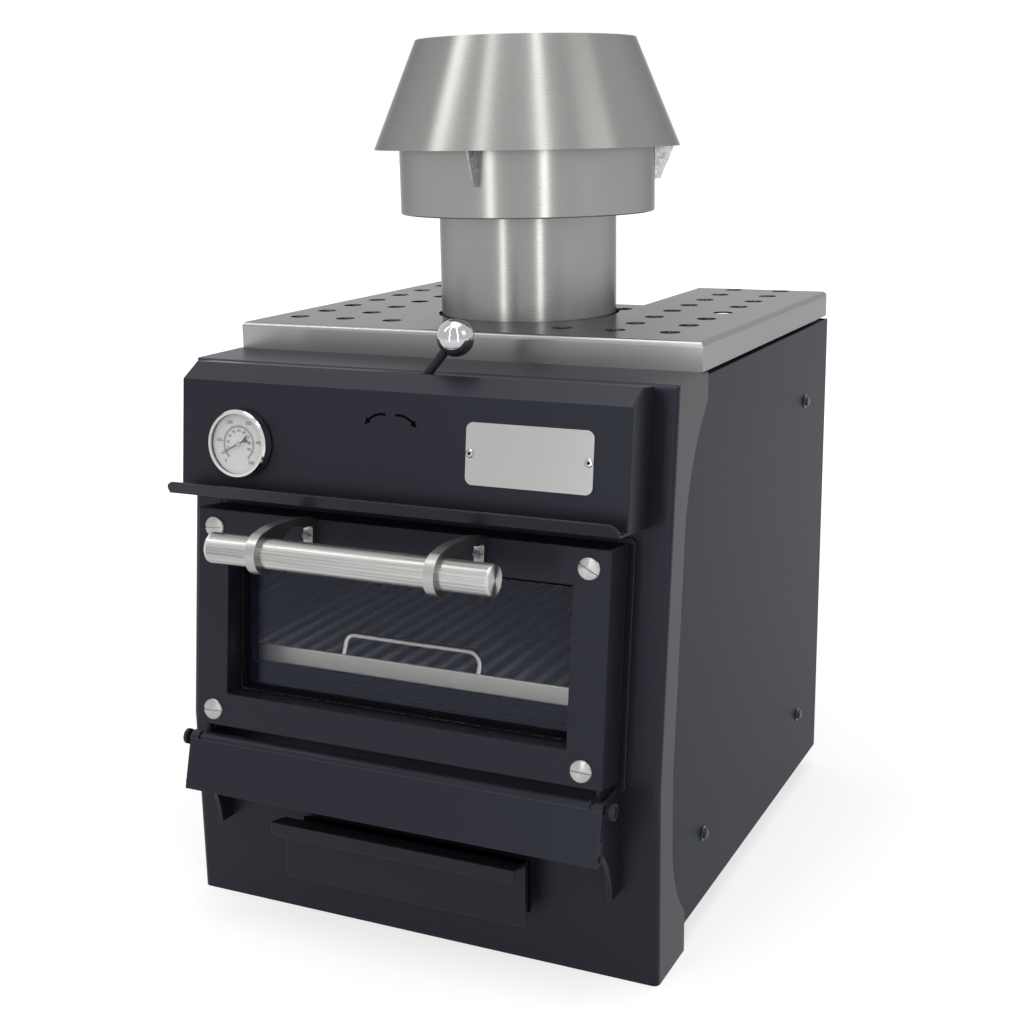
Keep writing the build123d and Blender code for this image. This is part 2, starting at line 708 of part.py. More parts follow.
# Control panel: a folded box on the fascia, with a turned-up lip under it
panel_outline = [(panel_back_gap, panel_low), (panel_front, panel_low),
                 (panel_front, panel_high), (panel_chamfer_out, panel_chamfer_high),
                 (panel_back_gap, panel_chamfer_high)]
chamfer_angle = atan2(panel_front - panel_chamfer_out, panel_chamfer_high - panel_high)
with BuildPart() as control_panel:
    with BuildSketch(section(0)):
        with BuildLine():
            Polyline((0, panel_low), *panel_outline[1:], (0, panel_chamfer_high), close=True)
        make_face()
    extrude(amount=panel_half_width, both=True)
    crisp = control_panel.edges().filter_by(
        lambda e: abs(abs(e.center().X) - panel_half_width) < 0.1
        and e.center().Z > on_face(panel_front, panel_low)[1] + 10
        and e.center().Y < on_face(panel_chamfer_out - 5, panel_chamfer_high)[0])
    fillet(crisp, 2)
    with BuildSketch(section(0)):
        with BuildLine():
            corner = sheet * tan(chamfer_angle / 2)
            edge = sheet * tan((pi / 2 - chamfer_angle) / 2)
            Polyline((-1, panel_low + sheet), (panel_front - sheet, panel_low + sheet),
                     (panel_front - sheet, panel_high - corner),
                     (panel_chamfer_out - edge, panel_chamfer_high - sheet),
                     (-1, panel_chamfer_high - sheet), close=True)
        make_face()
    extrude(amount=panel_half_width - sheet, both=True, mode=Mode.SUBTRACT)
    with BuildSketch(Plane.XY.offset(fascia_height + 20)):
        with Locations((flue_x, lever_y)):
            SlotOverall(2 * slot_half_length, slot_width)
    extrude(amount=-60, mode=Mode.SUBTRACT)
    with BuildSketch(section(0)):
        with BuildLine():
            slit = panel_back_gap
            Polyline((0, panel_high), (slit, panel_high), (slit, panel_chamfer_high + 1),
                     (0, panel_chamfer_high + 1), close=True)
        make_face()
    extrude(amount=panel_half_width + 1, both=True, mode=Mode.SUBTRACT)
    with BuildSketch(section(0)):
        with BuildLine():
            Polyline((panel_front - sheet, panel_low), (panel_front + lip_floor, panel_low),
                     (panel_front + lip_reach, panel_low + lip_rise),
                     (panel_front + lip_reach - sheet, panel_low + lip_rise + sheet / 2),
                     (panel_front + lip_floor - sheet / 2, panel_low + sheet),
                     (panel_front - sheet, panel_low + sheet), close=True)
        make_face()
    extrude(amount=panel_half_width, both=True)
    with BuildSketch(face(panel_front)):
        with Locations((thermo_x, thermo_along)):
            Circle(thermo_stem_radius + 1)
    extrude(amount=-2 * sheet, mode=Mode.SUBTRACT)
    lip_corners = control_panel.edges().filter_by(
        lambda e: e.length < 3.0 and abs(abs(e.center().X) - panel_half_width) < 0.1
        and e.center().Y < on_face(panel_front + lip_floor + 4, panel_low)[0])
    fillet(lip_corners, lip_corner * 0.9)
save(control_panel.part, "control_panel")

with BuildPart() as name_plate:
    with BuildSketch(face(panel_front)):
        with Locations((name_plate_x, name_plate_along)):
            RectangleRounded(name_plate_width, name_plate_height, 8)
    extrude(amount=name_plate_thickness)
save(name_plate.part, "name_plate")

with BuildPart() as name_plate_screws:
    with BuildSketch(face(panel_front + name_plate_thickness)):
        with Locations((name_plate_x, name_plate_along)):
            with GridLocations(name_plate_screw_spacing, 1, 2, 1):
                Circle(2.8)
    extrude(amount=1.4)
save(name_plate_screws.part, "name_plate_screws")

# Thermometer: case with stem, dial, needle on a spindle, lens and polished bezel
case_front = panel_front + thermo_case_depth
dial_thickness = 1.0
spindle_radius = 1.2
needle_out = case_front + dial_thickness + 0.8
needle_thickness = 0.8
lens_out = needle_out + needle_thickness + 1.0
lens_thickness = 1.4
bezel_lip = 2.0
with BuildPart() as thermometer_case:
    with BuildSketch(face(panel_front)):
        with Locations((thermo_x, thermo_along)):
            Circle(thermo_case_radius)
    extrude(amount=thermo_case_depth)
    with BuildSketch(face(panel_front)):
        with Locations((thermo_x, thermo_along)):
            Circle(thermo_stem_radius)
    extrude(amount=-thermo_stem_length)
    with BuildSketch(face(case_front)):
        with Locations((thermo_x, thermo_along)):
            Circle(spindle_radius + running_gap)
    extrude(amount=-2, mode=Mode.SUBTRACT)
save(thermometer_case.part, "thermometer_case")

with BuildPart() as thermometer_dial:
    with BuildSketch(face(case_front)):
        with Locations((thermo_x, thermo_along)):
            Circle(thermo_dial_radius)
            Circle(spindle_radius + running_gap, mode=Mode.SUBTRACT)
    extrude(amount=dial_thickness)
save(thermometer_dial.part, "thermometer_dial")

with BuildPart() as thermometer_bezel:
    with BuildSketch(face(panel_front + 2)):
        with Locations((thermo_x, thermo_along)):
            Circle(thermo_radius)
            Circle(thermo_case_radius + fit_gap, mode=Mode.SUBTRACT)
    extrude(amount=lens_out + lens_thickness - panel_front - 2)
    with BuildSketch(face(lens_out + lens_thickness)):
        with Locations((thermo_x, thermo_along)):
            Circle(thermo_radius)
            Circle(thermo_dial_radius - 0.5, mode=Mode.SUBTRACT)
    extrude(amount=bezel_lip)
    rim = thermometer_bezel.edges().filter_by(GeomType.CIRCLE).filter_by(
        lambda e: abs(e.radius - thermo_radius) < 0.01).sort_by(Axis.Y)[0]
    chamfer(rim, bezel_lip * 0.8)
save(thermometer_bezel.part, "thermometer_bezel")

with BuildPart() as thermometer_lens:
    with BuildSketch(face(lens_out)):
        with Locations((thermo_x, thermo_along)):
            Circle(thermo_case_radius - fit_gap)
    extrude(amount=lens_thickness)
save(thermometer_lens.part, "thermometer_lens")

needle_plane = face(needle_out)
with BuildPart() as thermometer_needle:
    with BuildSketch(needle_plane):
        with Locations(Location((thermo_x, thermo_along, 0), (0, 0, needle_rest_angle))):
            Polygon((-needle_tail, 1.6), (-needle_tail, -1.6), (0, -1.3), (needle_length, -0.3),
                    (needle_length, 0.3), (0, 1.3), align=None)
            Circle(3.2)
    extrude(amount=needle_thickness)
    with BuildSketch(face(case_front - 1)):
        with Locations((thermo_x, thermo_along)):
            Circle(spindle_radius)
    extrude(amount=needle_out - case_front + 1)
save(thermometer_needle.part, "thermometer_needle")

# Door surround and door
with BuildPart() as door_surround:
    with BuildSketch(face(0)):
        with Locations((0, (surround_bottom + surround_top) / 2)):
            RectangleRounded(2 * surround_half_width, surround_top - surround_bottom, 6)
        with Locations((0, mouth_middle)):
            Rectangle(2 * chamber_half_width, mouth_height, mode=Mode.SUBTRACT)
    extrude(amount=surround_thickness)
    with BuildSketch(face(surround_thickness)):
        with Locations((0, (surround_bottom + surround_top) / 2)):
            RectangleRounded(2 * surround_half_width, surround_top - surround_bottom, 6)
            RectangleRounded(2 * (surround_half_width - surround_bead),
                             surround_top - surround_bottom - 2 * surround_bead, 3,
                             mode=Mode.SUBTRACT)
    extrude(amount=surround_bead_rise)
    for side in (-1, 1):
        with Locations((side * (corbel_inner_x + corbel_thickness / 2), -corbel_foot_depth,
                        hinge_z + corbel_boss_radius * 0.72 + fit_gap)):
            Box(corbel_thickness + 2 * fit_gap, 2 * corbel_foot_depth, 20,
                align=(Align.CENTER, Align.CENTER, Align.MAX), mode=Mode.SUBTRACT)
save(door_surround.part, "door_surround")

door_height = door_top - door_bottom
door_middle = (door_top + door_bottom) / 2
window_middle = (window_top + window_bottom) / 2
window_height = window_top - window_bottom
shell_rear = door_rear + door_sheet
opening_half = window_half_width - window_lip
opening_height = window_height - 2 * window_lip
with BuildPart() as door_outer_frame:
    with BuildSketch(face(shell_rear)):
        with Locations((0, door_middle)):
            Rectangle(2 * door_half_width, door_height)
        with Locations((0, window_middle)):
            Rectangle(2 * window_half_width, window_height, mode=Mode.SUBTRACT)
    extrude(amount=door_front - shell_rear)
    outer_rim = door_outer_frame.faces().sort_by(
        lambda f: f.center().dot(face().z_dir))[-1].edges()
    fillet(outer_rim.filter_by(lambda e: True), 1.5)
    with BuildSketch(face(shell_rear)):
        with Locations((0, door_middle)):
            Rectangle(2 * (door_half_width - door_sheet), door_height - 2 * door_sheet)
        with Locations((0, window_middle)):
            Rectangle(2 * (window_half_width + door_sheet), window_height + 2 * door_sheet,
                      mode=Mode.SUBTRACT)
    extrude(amount=door_front - shell_rear - door_sheet, mode=Mode.SUBTRACT)
    with BuildSketch(face(window_lip_front - door_sheet)):
        with Locations((0, window_middle)):
            Rectangle(2 * window_half_width, window_height)
            Rectangle(2 * opening_half, opening_height, mode=Mode.SUBTRACT)
    extrude(amount=door_sheet)
save(door_outer_frame.part, "door_outer_frame")

glass_front = window_lip_front - door_sheet
glass_rear = glass_front - glass_thickness
glass_half = opening_half + 14.0
glass_high = opening_height + 28.0
with BuildPart() as glass_gasket:
    with BuildSketch(face(window_lip_front)):
        with Locations((0, window_middle)):
            Rectangle(2 * window_half_width - 0.4, window_height - 0.4)
            Rectangle(2 * (window_half_width - window_rope), window_height - 2 * window_rope,
                      mode=Mode.SUBTRACT)
    extrude(amount=window_rope * 0.6)
    rope_edges = glass_gasket.faces().filter_by(
        lambda f: f.normal_at().Y < -0.9).sort_by(lambda f: f.center().dot(face().z_dir))[-1]
    fillet(rope_edges.edges(), window_rope * 0.28)
save(glass_gasket.part, "glass_gasket")

with BuildPart() as door_glass:
    with BuildSketch(face(glass_rear)):
        with Locations((0, window_middle)):
            RectangleRounded(2 * glass_half, glass_high, 3)
    extrude(amount=glass_thickness)
save(door_glass.part, "door_glass")

with BuildPart() as door_rear_frame:
    with BuildSketch(face(door_rear)):
        with Locations((0, door_middle)):
            RectangleRounded(2 * door_half_width, door_height, 3)
        with Locations((0, window_middle)):
            Rectangle(2 * opening_half, opening_height, mode=Mode.SUBTRACT)
    extrude(amount=door_sheet)
    with BuildSketch(face(shell_rear)):
        with Locations((0, window_middle)):
            Rectangle(2 * glass_half - 4, glass_high - 4)
            Rectangle(2 * opening_half, opening_height, mode=Mode.SUBTRACT)
    extrude(amount=glass_rear - shell_rear)
save(door_rear_frame.part, "door_rear_frame")

rope_half = chamber_half_width + 4.0
rope_low = mouth_bottom - 4.0
rope_high = mouth_top + 4.0
with BuildPart() as door_rope_gasket:
    with BuildSketch(face(surround_thickness + fit_gap)):
        with Locations((0, (rope_low + rope_high) / 2)):
            RectangleRounded(2 * rope_half + rope_width, rope_high - rope_low - 0.5, 10)
            RectangleRounded(2 * rope_half - rope_width, rope_high - rope_low - 2 * rope_width,
                             4, mode=Mode.SUBTRACT)
    extrude(amount=door_rear - surround_thickness - fit_gap)
save(door_rope_gasket.part, "door_rope_gasket")

screw_x = door_half_width - screw_inset_x
screw_places = [(sx * screw_x, along) for sx in (-1, 1)
                for along in (door_bottom + screw_inset_low, door_top - screw_inset_high)]
with BuildPart() as door_screws:
    with BuildSketch(face(door_front)):
        with Locations(*screw_places):
            Circle(screw_head_radius)
    extrude(amount=screw_head_height)
    heads = door_screws.faces().filter_by(lambda f: f.normal_at().Y < -0.9).edges()
    chamfer(heads, 0.8)
    with BuildSketch(face(door_front + screw_head_height)):
        with Locations(*[Location((x, along, 0), (0, 0, 25)) for x, along in screw_places]):
            Rectangle(2 * screw_head_radius + 2, 1.6)
    extrude(amount=-1.2, mode=Mode.SUBTRACT)
save(door_screws.part, "door_screws")

# Door handle: a thick tube in two arched brackets
with BuildPart() as handle_bar:
    with BuildSketch(section(handle_centre_x)):
        with Locations((handle_reach, handle_along)):
            Circle(handle_radius)
            Circle(handle_radius - handle_wall, mode=Mode.SUBTRACT)
    extrude(amount=handle_half_length, both=True)
save(handle_bar.part, "handle_bar")

with BuildPart() as handle_end_caps:
    for side in (-1, 1):
        with BuildSketch(section(handle_centre_x + side * handle_half_length)):
            with Locations((handle_reach, handle_along)):
                Circle(handle_radius)
        extrude(amount=-side * 3.0)
        with BuildSketch(section(handle_centre_x + side * handle_half_length)):
            with Locations((handle_reach, handle_along)):
                Circle(handle_radius - handle_wall)
        extrude(amount=side * 8.0)
    outer = handle_end_caps.edges().filter_by(GeomType.CIRCLE).filter_by(
        lambda e: abs(abs(e.center().X - handle_centre_x) - handle_half_length - 3) < 0.1)
    chamfer(outer, 1.0)
save(handle_end_caps.part, "handle_end_caps")

ring_outer = handle_radius + bracket_ring_wall
foot_high = door_top + 2.0
foot_low = foot_high - bracket_foot_length
bolt_places = (foot_high - 19.5, foot_high - 33.0)
arch_under = bracket_top - bracket_arch_wall
ring_back = handle_reach - ring_outer


def ring_point(angle):
    """Point on the ring round the bar; the angle runs from the front over the top."""
    return (handle_reach + ring_outer * cos(radians(angle)),
            handle_along + ring_outer * sin(radians(angle)))


for side, name in ((-1, "left"), (1, "right")):
    bracket_x = handle_centre_x + side * bracket_spacing / 2
    with BuildPart() as bracket:
        with BuildSketch(section(bracket_x)):
            with BuildLine():
                Line((door_front, foot_low), (door_front, foot_high - 3))
                ThreePointArc((door_front, foot_high - 3), (door_front + 1.2, foot_high - 0.8),
                              (door_front + 4, foot_high))
                Spline((door_front + 4, foot_high), (door_front + 30, bracket_top),
                       (handle_reach - 31, bracket_top - 1.0), (handle_reach - 12, bracket_top - 3.0),
                       ring_point(78), tangents=((1, 0.1), (1, -0.3)))
                ThreePointArc(ring_point(78), ring_point(0), ring_point(-78))
                ThreePointArc(ring_point(-78), ring_point(-115), ring_point(-150))
                Spline(ring_point(-150), (ring_back - 4, handle_along - 2),
                       (ring_back - 10, handle_along + 12), (ring_back - 20, arch_under - 3.2),
                       (ring_back - 38, arch_under), (door_front + 20, arch_under - 3.5),
                       (door_front + bracket_foot, foot_high - 13.5),
                       tangents=((-0.45, 1), (-0.1, -1)))
                Polyline((door_front + bracket_foot, foot_high - 13.5),
                         (door_front + bracket_foot, foot_low), (door_front, foot_low))
            make_face()
            with Locations((handle_reach, handle_along)):
                Circle(handle_radius, mode=Mode.SUBTRACT)
        extrude(amount=bracket_width / 2, both=True)
        for along in bolt_places:
            with BuildSketch(face(door_front - 1)):
                with Locations((bracket_x, along)):
                    Circle(3.2)
            extrude(amount=bracket_foot + 2, mode=Mode.SUBTRACT)
    save(bracket.part, f"handle_bracket_{name}")

with BuildPart() as handle_bolts:
    for side in (-1, 1):
        for along in bolt_places:
            where = (handle_centre_x + side * bracket_spacing / 2, along)
            with BuildSketch(face(door_front + bracket_foot)):
                with Locations(where):
                    RegularPolygon(handle_bolt_radius, 6)
            extrude(amount=handle_bolt_head)
            with BuildSketch(face(door_front)):
                with Locations(where):
                    Circle(3.0)
            extrude(amount=bracket_foot)
save(handle_bolts.part, "handle_bolts")

# Hinge line: ears on the door, two stub pins with flanged heads, corbels and apron
ear_outer = corbel_inner_x - 1.0
hinge_out = -hinge_y * cos(lean) + (hinge_z - bend_height) * sin(lean)
hinge_along = hinge_y * sin(lean) + (hinge_z - bend_height) * cos(lean)
with BuildPart() as door_hinge_ears:
    for side in (-1, 1):
        with BuildSketch(section(side * (ear_outer - ear_thickness / 2))):
            with Locations((hinge_out, hinge_along)):
                Circle(ear_boss_radius)
            with BuildLine():
                Polyline((hinge_out - ear_neck_set_back, door_bottom),
                         (hinge_out - ear_neck_set_back - ear_neck_width, door_bottom),
                         (hinge_out - ear_boss_radius * 0.8, hinge_along - ear_boss_radius * 0.6),
                         (hinge_out, hinge_along),
                         (hinge_out - ear_neck_set_back, hinge_along + 3), close=True)
            make_face()
            with Locations((hinge_out, hinge_along)):
                Circle(pin_radius + running_gap, mode=Mode.SUBTRACT)
        extrude(amount=ear_thickness / 2, both=True)
save(door_hinge_ears.part, "door_hinge_ears")

pin_inner = ear_outer - ear_thickness - 1.0
flange_x = apron_half_width + 6.5
with BuildPart() as hinge_pins:
    for side in (-1, 1):
        with BuildSketch(profile(side * pin_inner)):
            with Locations((hinge_y, hinge_z)):
                Circle(pin_radius)
        extrude(amount=side * (flange_x - pin_inner))
        with BuildSketch(profile(side * flange_x)):
            with Locations((hinge_y, hinge_z)):
                Circle(pin_flange_radius)
        extrude(amount=side * pin_flange_thickness)
        with BuildSketch(profile(side * (flange_x + pin_flange_thickness))):
            with Locations((hinge_y, hinge_z)):
                Circle(pin_flange_radius - 2.5)
        extrude(amount=-side * 1.5, mode=Mode.SUBTRACT)
save(hinge_pins.part, "hinge_pins")

apron_tilt = radians(apron_lean)
sweep_y = -corbel_foot_depth - corbel_sweep
apron_back = apron_hem_radius - apron_sheet
rest_gap = fit_gap


def apron_point(out, down):
    """(y, z) of a point given out of the apron's face plane through the hinge line
    and down along it."""
    return (hinge_y - out * cos(apron_tilt) - down * sin(apron_tilt),
            hinge_z + out * sin(apron_tilt) - down * cos(apron_tilt))


corbel_line_out = apron_back - rest_gap
line_start = apron_point(corbel_line_out, 0)
from_centre = (line_start[0] - sweep_y, line_start[1] - corbel_foot)
slope = from_centre[0] * sin(apron_tilt) + from_centre[1] * cos(apron_tilt)
spare = from_centre[0] ** 2 + from_centre[1] ** 2 - corbel_sweep ** 2
meet_down = slope - sqrt(slope ** 2 - spare)
arc_end = apron_point(corbel_line_out, meet_down)
meet_angle = asin((arc_end[1] - corbel_foot) / corbel_sweep)
for side, name in ((-1, "left"), (1, "right")):
    with BuildPart() as corbel:
        with BuildSketch(profile(side * corbel_inner_x)):
            with BuildLine():
                half_angle = meet_angle / 2
                arc_middle = (sweep_y + corbel_sweep * cos(half_angle),
                              corbel_foot + corbel_sweep * sin(half_angle))
                arc_start = (-corbel_foot_depth, corbel_foot)
                boss_front = apron_point(corbel_boss_radius, 0)
                Line((0, corbel_foot), arc_start)
                ThreePointArc(arc_start, arc_middle, arc_end)
                Line(arc_end, boss_front)
                ThreePointArc(boss_front, (hinge_y, hinge_z + corbel_boss_radius),
                              (hinge_y + corbel_boss_radius * 0.7,
                               hinge_z + corbel_boss_radius * 0.72))
                Line((hinge_y + corbel_boss_radius * 0.7, hinge_z + corbel_boss_radius * 0.72),
                     (0, hinge_z + corbel_boss_radius * 0.72))
                Line((0, hinge_z + corbel_boss_radius * 0.72), (0, corbel_foot))
            make_face()
            with Locations((hinge_y, hinge_z)):
                Circle(pin_radius, mode=Mode.SUBTRACT)
        extrude(amount=side * corbel_thickness)
    save(corbel.part, f"corbel_{name}")


def hem_point(radius, angle):
    """(y, z) on the hem; the angle runs from the front over the top."""
    return (hinge_y - radius * cos(radians(angle)), hinge_z + radius * sin(radians(angle)))


with BuildPart() as apron_panel:
    with BuildSketch(profile(0)):
        with BuildLine():
            Polyline(apron_point(apron_hem_radius, 0), apron_point(apron_back, 0),
                     apron_point(apron_back, apron_height),
                     apron_point(apron_hem_radius, apron_height), close=True)
        make_face()
    extrude(amount=apron_half_width, both=True)
    for side in (-1, 1):
        with BuildSketch(profile(side * apron_half_width)):
            with BuildLine():
                Polyline(apron_point(apron_back, apron_height - apron_side_height),
                         apron_point(apron_back, apron_height),
                         apron_point(apron_back - apron_side_flange, apron_height - 2),
                         apron_point(apron_back - apron_side_flange,
                                     apron_height - apron_side_height), close=True)
            make_face()
        extrude(amount=-side * apron_sheet)
save(apron_panel.part, "apron_panel")

# Its rolled barrel comes in three lengths, so that the door's ears pass between them
ear_slot = 0.5
barrel_inner = ear_outer - ear_thickness - ear_slot
with BuildPart() as apron_barrel:
    with BuildSketch(profile(0)):
        with BuildLine():
            ThreePointArc(apron_point(apron_hem_radius, 0), hem_point(apron_hem_radius, 60),
                          hem_point(apron_hem_radius, hem_end_angle))
            Line(hem_point(apron_hem_radius, hem_end_angle), hem_point(apron_back, hem_end_angle))
            ThreePointArc(hem_point(apron_back, hem_end_angle), hem_point(apron_back, 60),
                          apron_point(apron_back, 0))
            Line(apron_point(apron_back, 0), apron_point(apron_hem_radius, 0))
        make_face()
    extrude(amount=apron_half_width, both=True)
    for side in (-1, 1):
        with BuildSketch(profile(side * apron_half_width)):
            with Locations((hinge_y, hinge_z)):
                Circle(apron_back + 0.5)
                Circle(pin_radius + running_gap, mode=Mode.SUBTRACT)
        extrude(amount=-side * apron_sheet)
        with BuildSketch(profile(side * barrel_inner)):
            with Locations((hinge_y, hinge_z)):
                Circle(2 * apron_hem_radius)
        extrude(amount=side * (ear_thickness + 2 * ear_slot), mode=Mode.SUBTRACT)
    add(apron_panel.part, mode=Mode.SUBTRACT)
save(apron_barrel.part, "apron_barrel")

stop_place = apron_point(apron_back - apron_side_flange / 2, apron_height - 8)
with BuildPart() as apron_stops:
    for side in (-1, 1):
        with BuildSketch(profile(side * apron_half_width)):
            with Locations(stop_place):
                Circle(3.5)
        extrude(amount=side * 2.5)
save(apron_stops.part, "apron_stops")

# Ash drawer and its runners
plate_back = -drawer_open
plate_front = plate_back - drawer_sheet
lip_y = plate_front - drawer_lip_reach + drawer_sheet
lip_z = drawer_plate_top + drawer_lip_rise
with BuildPart() as drawer_front:
    with BuildSketch(profile(0)):
        with BuildLine():
            Polyline((plate_back, drawer_plate_bottom), (plate_back, drawer_plate_top),
                     (lip_y, lip_z), (lip_y - drawer_sheet, lip_z - 1.0),
                     (lip_y - drawer_sheet, lip_z - drawer_lip_drop),
                     (lip_y, lip_z - drawer_lip_drop), (lip_y, lip_z - drawer_sheet - 0.2),
                     (plate_front, drawer_plate_top - drawer_sheet - 0.1),
                     (plate_front, drawer_plate_bottom), close=True)
        make_face()
    extrude(amount=drawer_half_width, both=True)
    lip_ends = drawer_front.edges().filter_by(Axis.Y).filter_by(
        lambda e: e.length < drawer_sheet + 0.1
        and abs(e.center().Z - lip_z + drawer_lip_drop) < 0.1)
    fillet(lip_ends, 7)
save(drawer_front.part, "drawer_front")

with BuildPart() as drawer_tray:
    tray_length = tray_rear - plate_back
    with Locations((0, (tray_rear + plate_back) / 2, tray_bottom)):
        Box(2 * tray_half_width, tray_length, tray_top - tray_bottom,
            align=(Align.CENTER, Align.CENTER, Align.MIN))
    fillet(drawer_tray.edges().filter_by(Axis.Z), 4)
    with Locations((0, (tray_rear + plate_back) / 2, tray_bottom + tray_sheet)):
        Box(2 * (tray_half_width - tray_sheet), tray_length - 2 * tray_sheet,
            tray_top - tray_bottom, align=(Align.CENTER, Align.CENTER, Align.MIN),
            mode=Mode.SUBTRACT)
save(drawer_tray.part, "drawer_tray")

runner_inner = tray_half_width + 1.0
runner_top = tray_bottom - fit_gap
runner_front = panel_front_gap + 1.0
with BuildPart() as drawer_runners:
    for side in (-1, 1):
        with BuildSketch(across(runner_front)):
            with BuildLine():
                inner = side * (runner_inner - runner_shelf)
                web = side * runner_inner
                back = side * (runner_inner + sheet)
                Polyline((inner, runner_top), (web, runner_top), (web, runner_top + runner_height),
                         (back, runner_top + runner_height), (back, base_top),
                         (web, base_top), (web, runner_top - sheet),
                         (inner, runner_top - sheet), close=True)
            make_face()
        extrude(amount=-(tray_rear + 20 - runner_front))
save(drawer_runners.part, "drawer_runners")

# Chimney: flue pipe, collar, drum with a spark deflector, and a conical hat
with BuildPart() as flue_pipe:
    with BuildSketch(Plane.XY.offset(chamber_roof)):
        with Locations((flue_x, flue_y)):
            Circle(flue_radius)
            Circle(flue_radius - flue_wall, mode=Mode.SUBTRACT)
    extrude(amount=flue_top - chamber_roof)
    with BuildSketch(across(0)):
        with Locations((flue_x, shaft_z)):
            Circle(shaft_radius + running_gap)
    extrude(amount=-(flue_y + flue_radius + 10), mode=Mode.SUBTRACT)
save(flue_pipe.part, "flue_pipe")

with BuildPart() as flue_collar:
    with BuildSketch(Plane.XY.offset(chamber_roof)):
        with Locations((flue_x, flue_y)):
            Circle(collar_radius)
            Circle(flue_radius, mode=Mode.SUBTRACT)
    extrude(amount=collar_thickness)
save(flue_collar.part, "flue_collar")

with BuildPart() as firebreak_drum:
    with BuildSketch(Plane(origin=(flue_x, flue_y, 0), x_dir=(1, 0, 0), z_dir=(0, -1, 0))):
        with BuildLine():
            collar_bore = flue_radius + fit_gap
            collar_outside = collar_bore + drum_wall
            stop_radius = flue_radius - flue_wall
            Polyline((collar_bore, drum_bottom), (drum_radius, drum_bottom),
                     (drum_radius, drum_top), (drum_radius - drum_wall, drum_top),
                     (drum_radius - drum_wall, drum_bottom + drum_wall),
                     (collar_outside, drum_bottom + drum_wall),
                     (collar_outside, flue_top + drum_wall),
                     (stop_radius, flue_top + drum_wall), (stop_radius, flue_top),
                     (collar_bore, flue_top), close=True)
        make_face()
    revolve(axis=Axis((flue_x, flue_y, 0), (0, 0, 1)))
    lower_rim = firebreak_drum.edges().filter_by(GeomType.CIRCLE).filter_by(
        lambda e: abs(e.radius - drum_radius) < 0.01).sort_by(Axis.Z)[0]
    chamfer(lower_rim, drum_wall * 0.7)
save(firebreak_drum.part, "firebreak_drum")

with BuildPart() as spark_deflector:
    with BuildSketch(Plane.XY.offset(deflector_height)):
        with Locations((flue_x, flue_y)):
            Circle(deflector_radius)
    extrude(amount=drum_wall)
    leg_top = deflector_height
    for index in range(3):
        angle = radians(30 + 120 * index)
        with BuildSketch(Plane(origin=(flue_x, flue_y, 0),
                               x_dir=(cos(angle), sin(angle), 0),
                               z_dir=(sin(angle), -cos(angle), 0))):
            with BuildLine():
                inner = deflector_radius - 20
                bore = flue_radius - flue_wall
                knee = flue_top - deflector_leg_low + 2 * deflector_leg_width
                Polyline((inner, leg_top), (deflector_radius, leg_top), (bore, knee),
                         (bore, flue_top - deflector_leg_low),
                         (bore - deflector_leg_wall, flue_top - deflector_leg_low),
                         (bore - deflector_leg_wall, knee), close=True)
            make_face()
        extrude(amount=deflector_leg_width / 2, both=True)
    with BuildSketch(Plane.XY.offset(flue_top - 2 * deflector_leg_low)):
        with Locations((flue_x, flue_y)):
            Circle(drum_radius)
            Circle(flue_radius - flue_wall, mode=Mode.SUBTRACT)
    extrude(amount=deflector_height - flue_top + 2 * deflector_leg_low - 1, mode=Mode.SUBTRACT)
save(spark_deflector.part, "spark_deflector")

hat_slope = atan2(hat_bottom_radius - hat_top_radius, hat_top - hat_bottom)
hat_inset = hat_wall / cos(hat_slope)
with BuildPart() as chimney_hat:
    with BuildSketch(Plane(origin=(flue_x, flue_y, 0), x_dir=(1, 0, 0), z_dir=(0, -1, 0))):
        with BuildLine():
            Polyline((hat_bottom_radius - hat_inset, hat_bottom), (hat_bottom_radius, hat_bottom),
                     (hat_top_radius, hat_top), (hat_top_radius - hat_inset, hat_top),
                     close=True)
        make_face()
    revolve(axis=Axis((flue_x, flue_y, 0), (0, 0, 1)))
save(chimney_hat.part, "chimney_hat")


def hat_inner_radius(z):
    """Inner radius of the hat's wall at height z."""
    share = (z - hat_bottom) / (hat_top - hat_bottom)
    return hat_bottom_radius - hat_inset - share * (hat_bottom_radius - hat_top_radius)


with BuildPart() as hat_gussets:
    for index in range(gusset_count):
        angle = radians(-90 + gusset_angle + 360 / gusset_count * index)
        with BuildSketch(Plane(origin=(flue_x, flue_y, 0),
                               x_dir=(cos(angle), sin(angle), 0),
                               z_dir=(sin(angle), -cos(angle), 0))):
            with BuildLine():
                Polyline((drum_radius - 1, gusset_low), (drum_radius + gusset_low_reach, gusset_low),
                         (hat_inner_radius(hat_bottom), hat_bottom),
                         (hat_inner_radius(gusset_high), gusset_high),
                         (drum_radius - 1, gusset_high), close=True)
            make_face()
        extrude(amount=gusset_thickness / 2, both=True)
    with BuildSketch(Plane.XY.offset(gusset_low - 5)):
        with Locations((flue_x, flue_y)):
            Circle(drum_radius)
    extrude(amount=gusset_high - gusset_low + 10, mode=Mode.SUBTRACT)
    add(chimney_hat.part, mode=Mode.SUBTRACT)
save(hat_gussets.part, "hat_gussets")

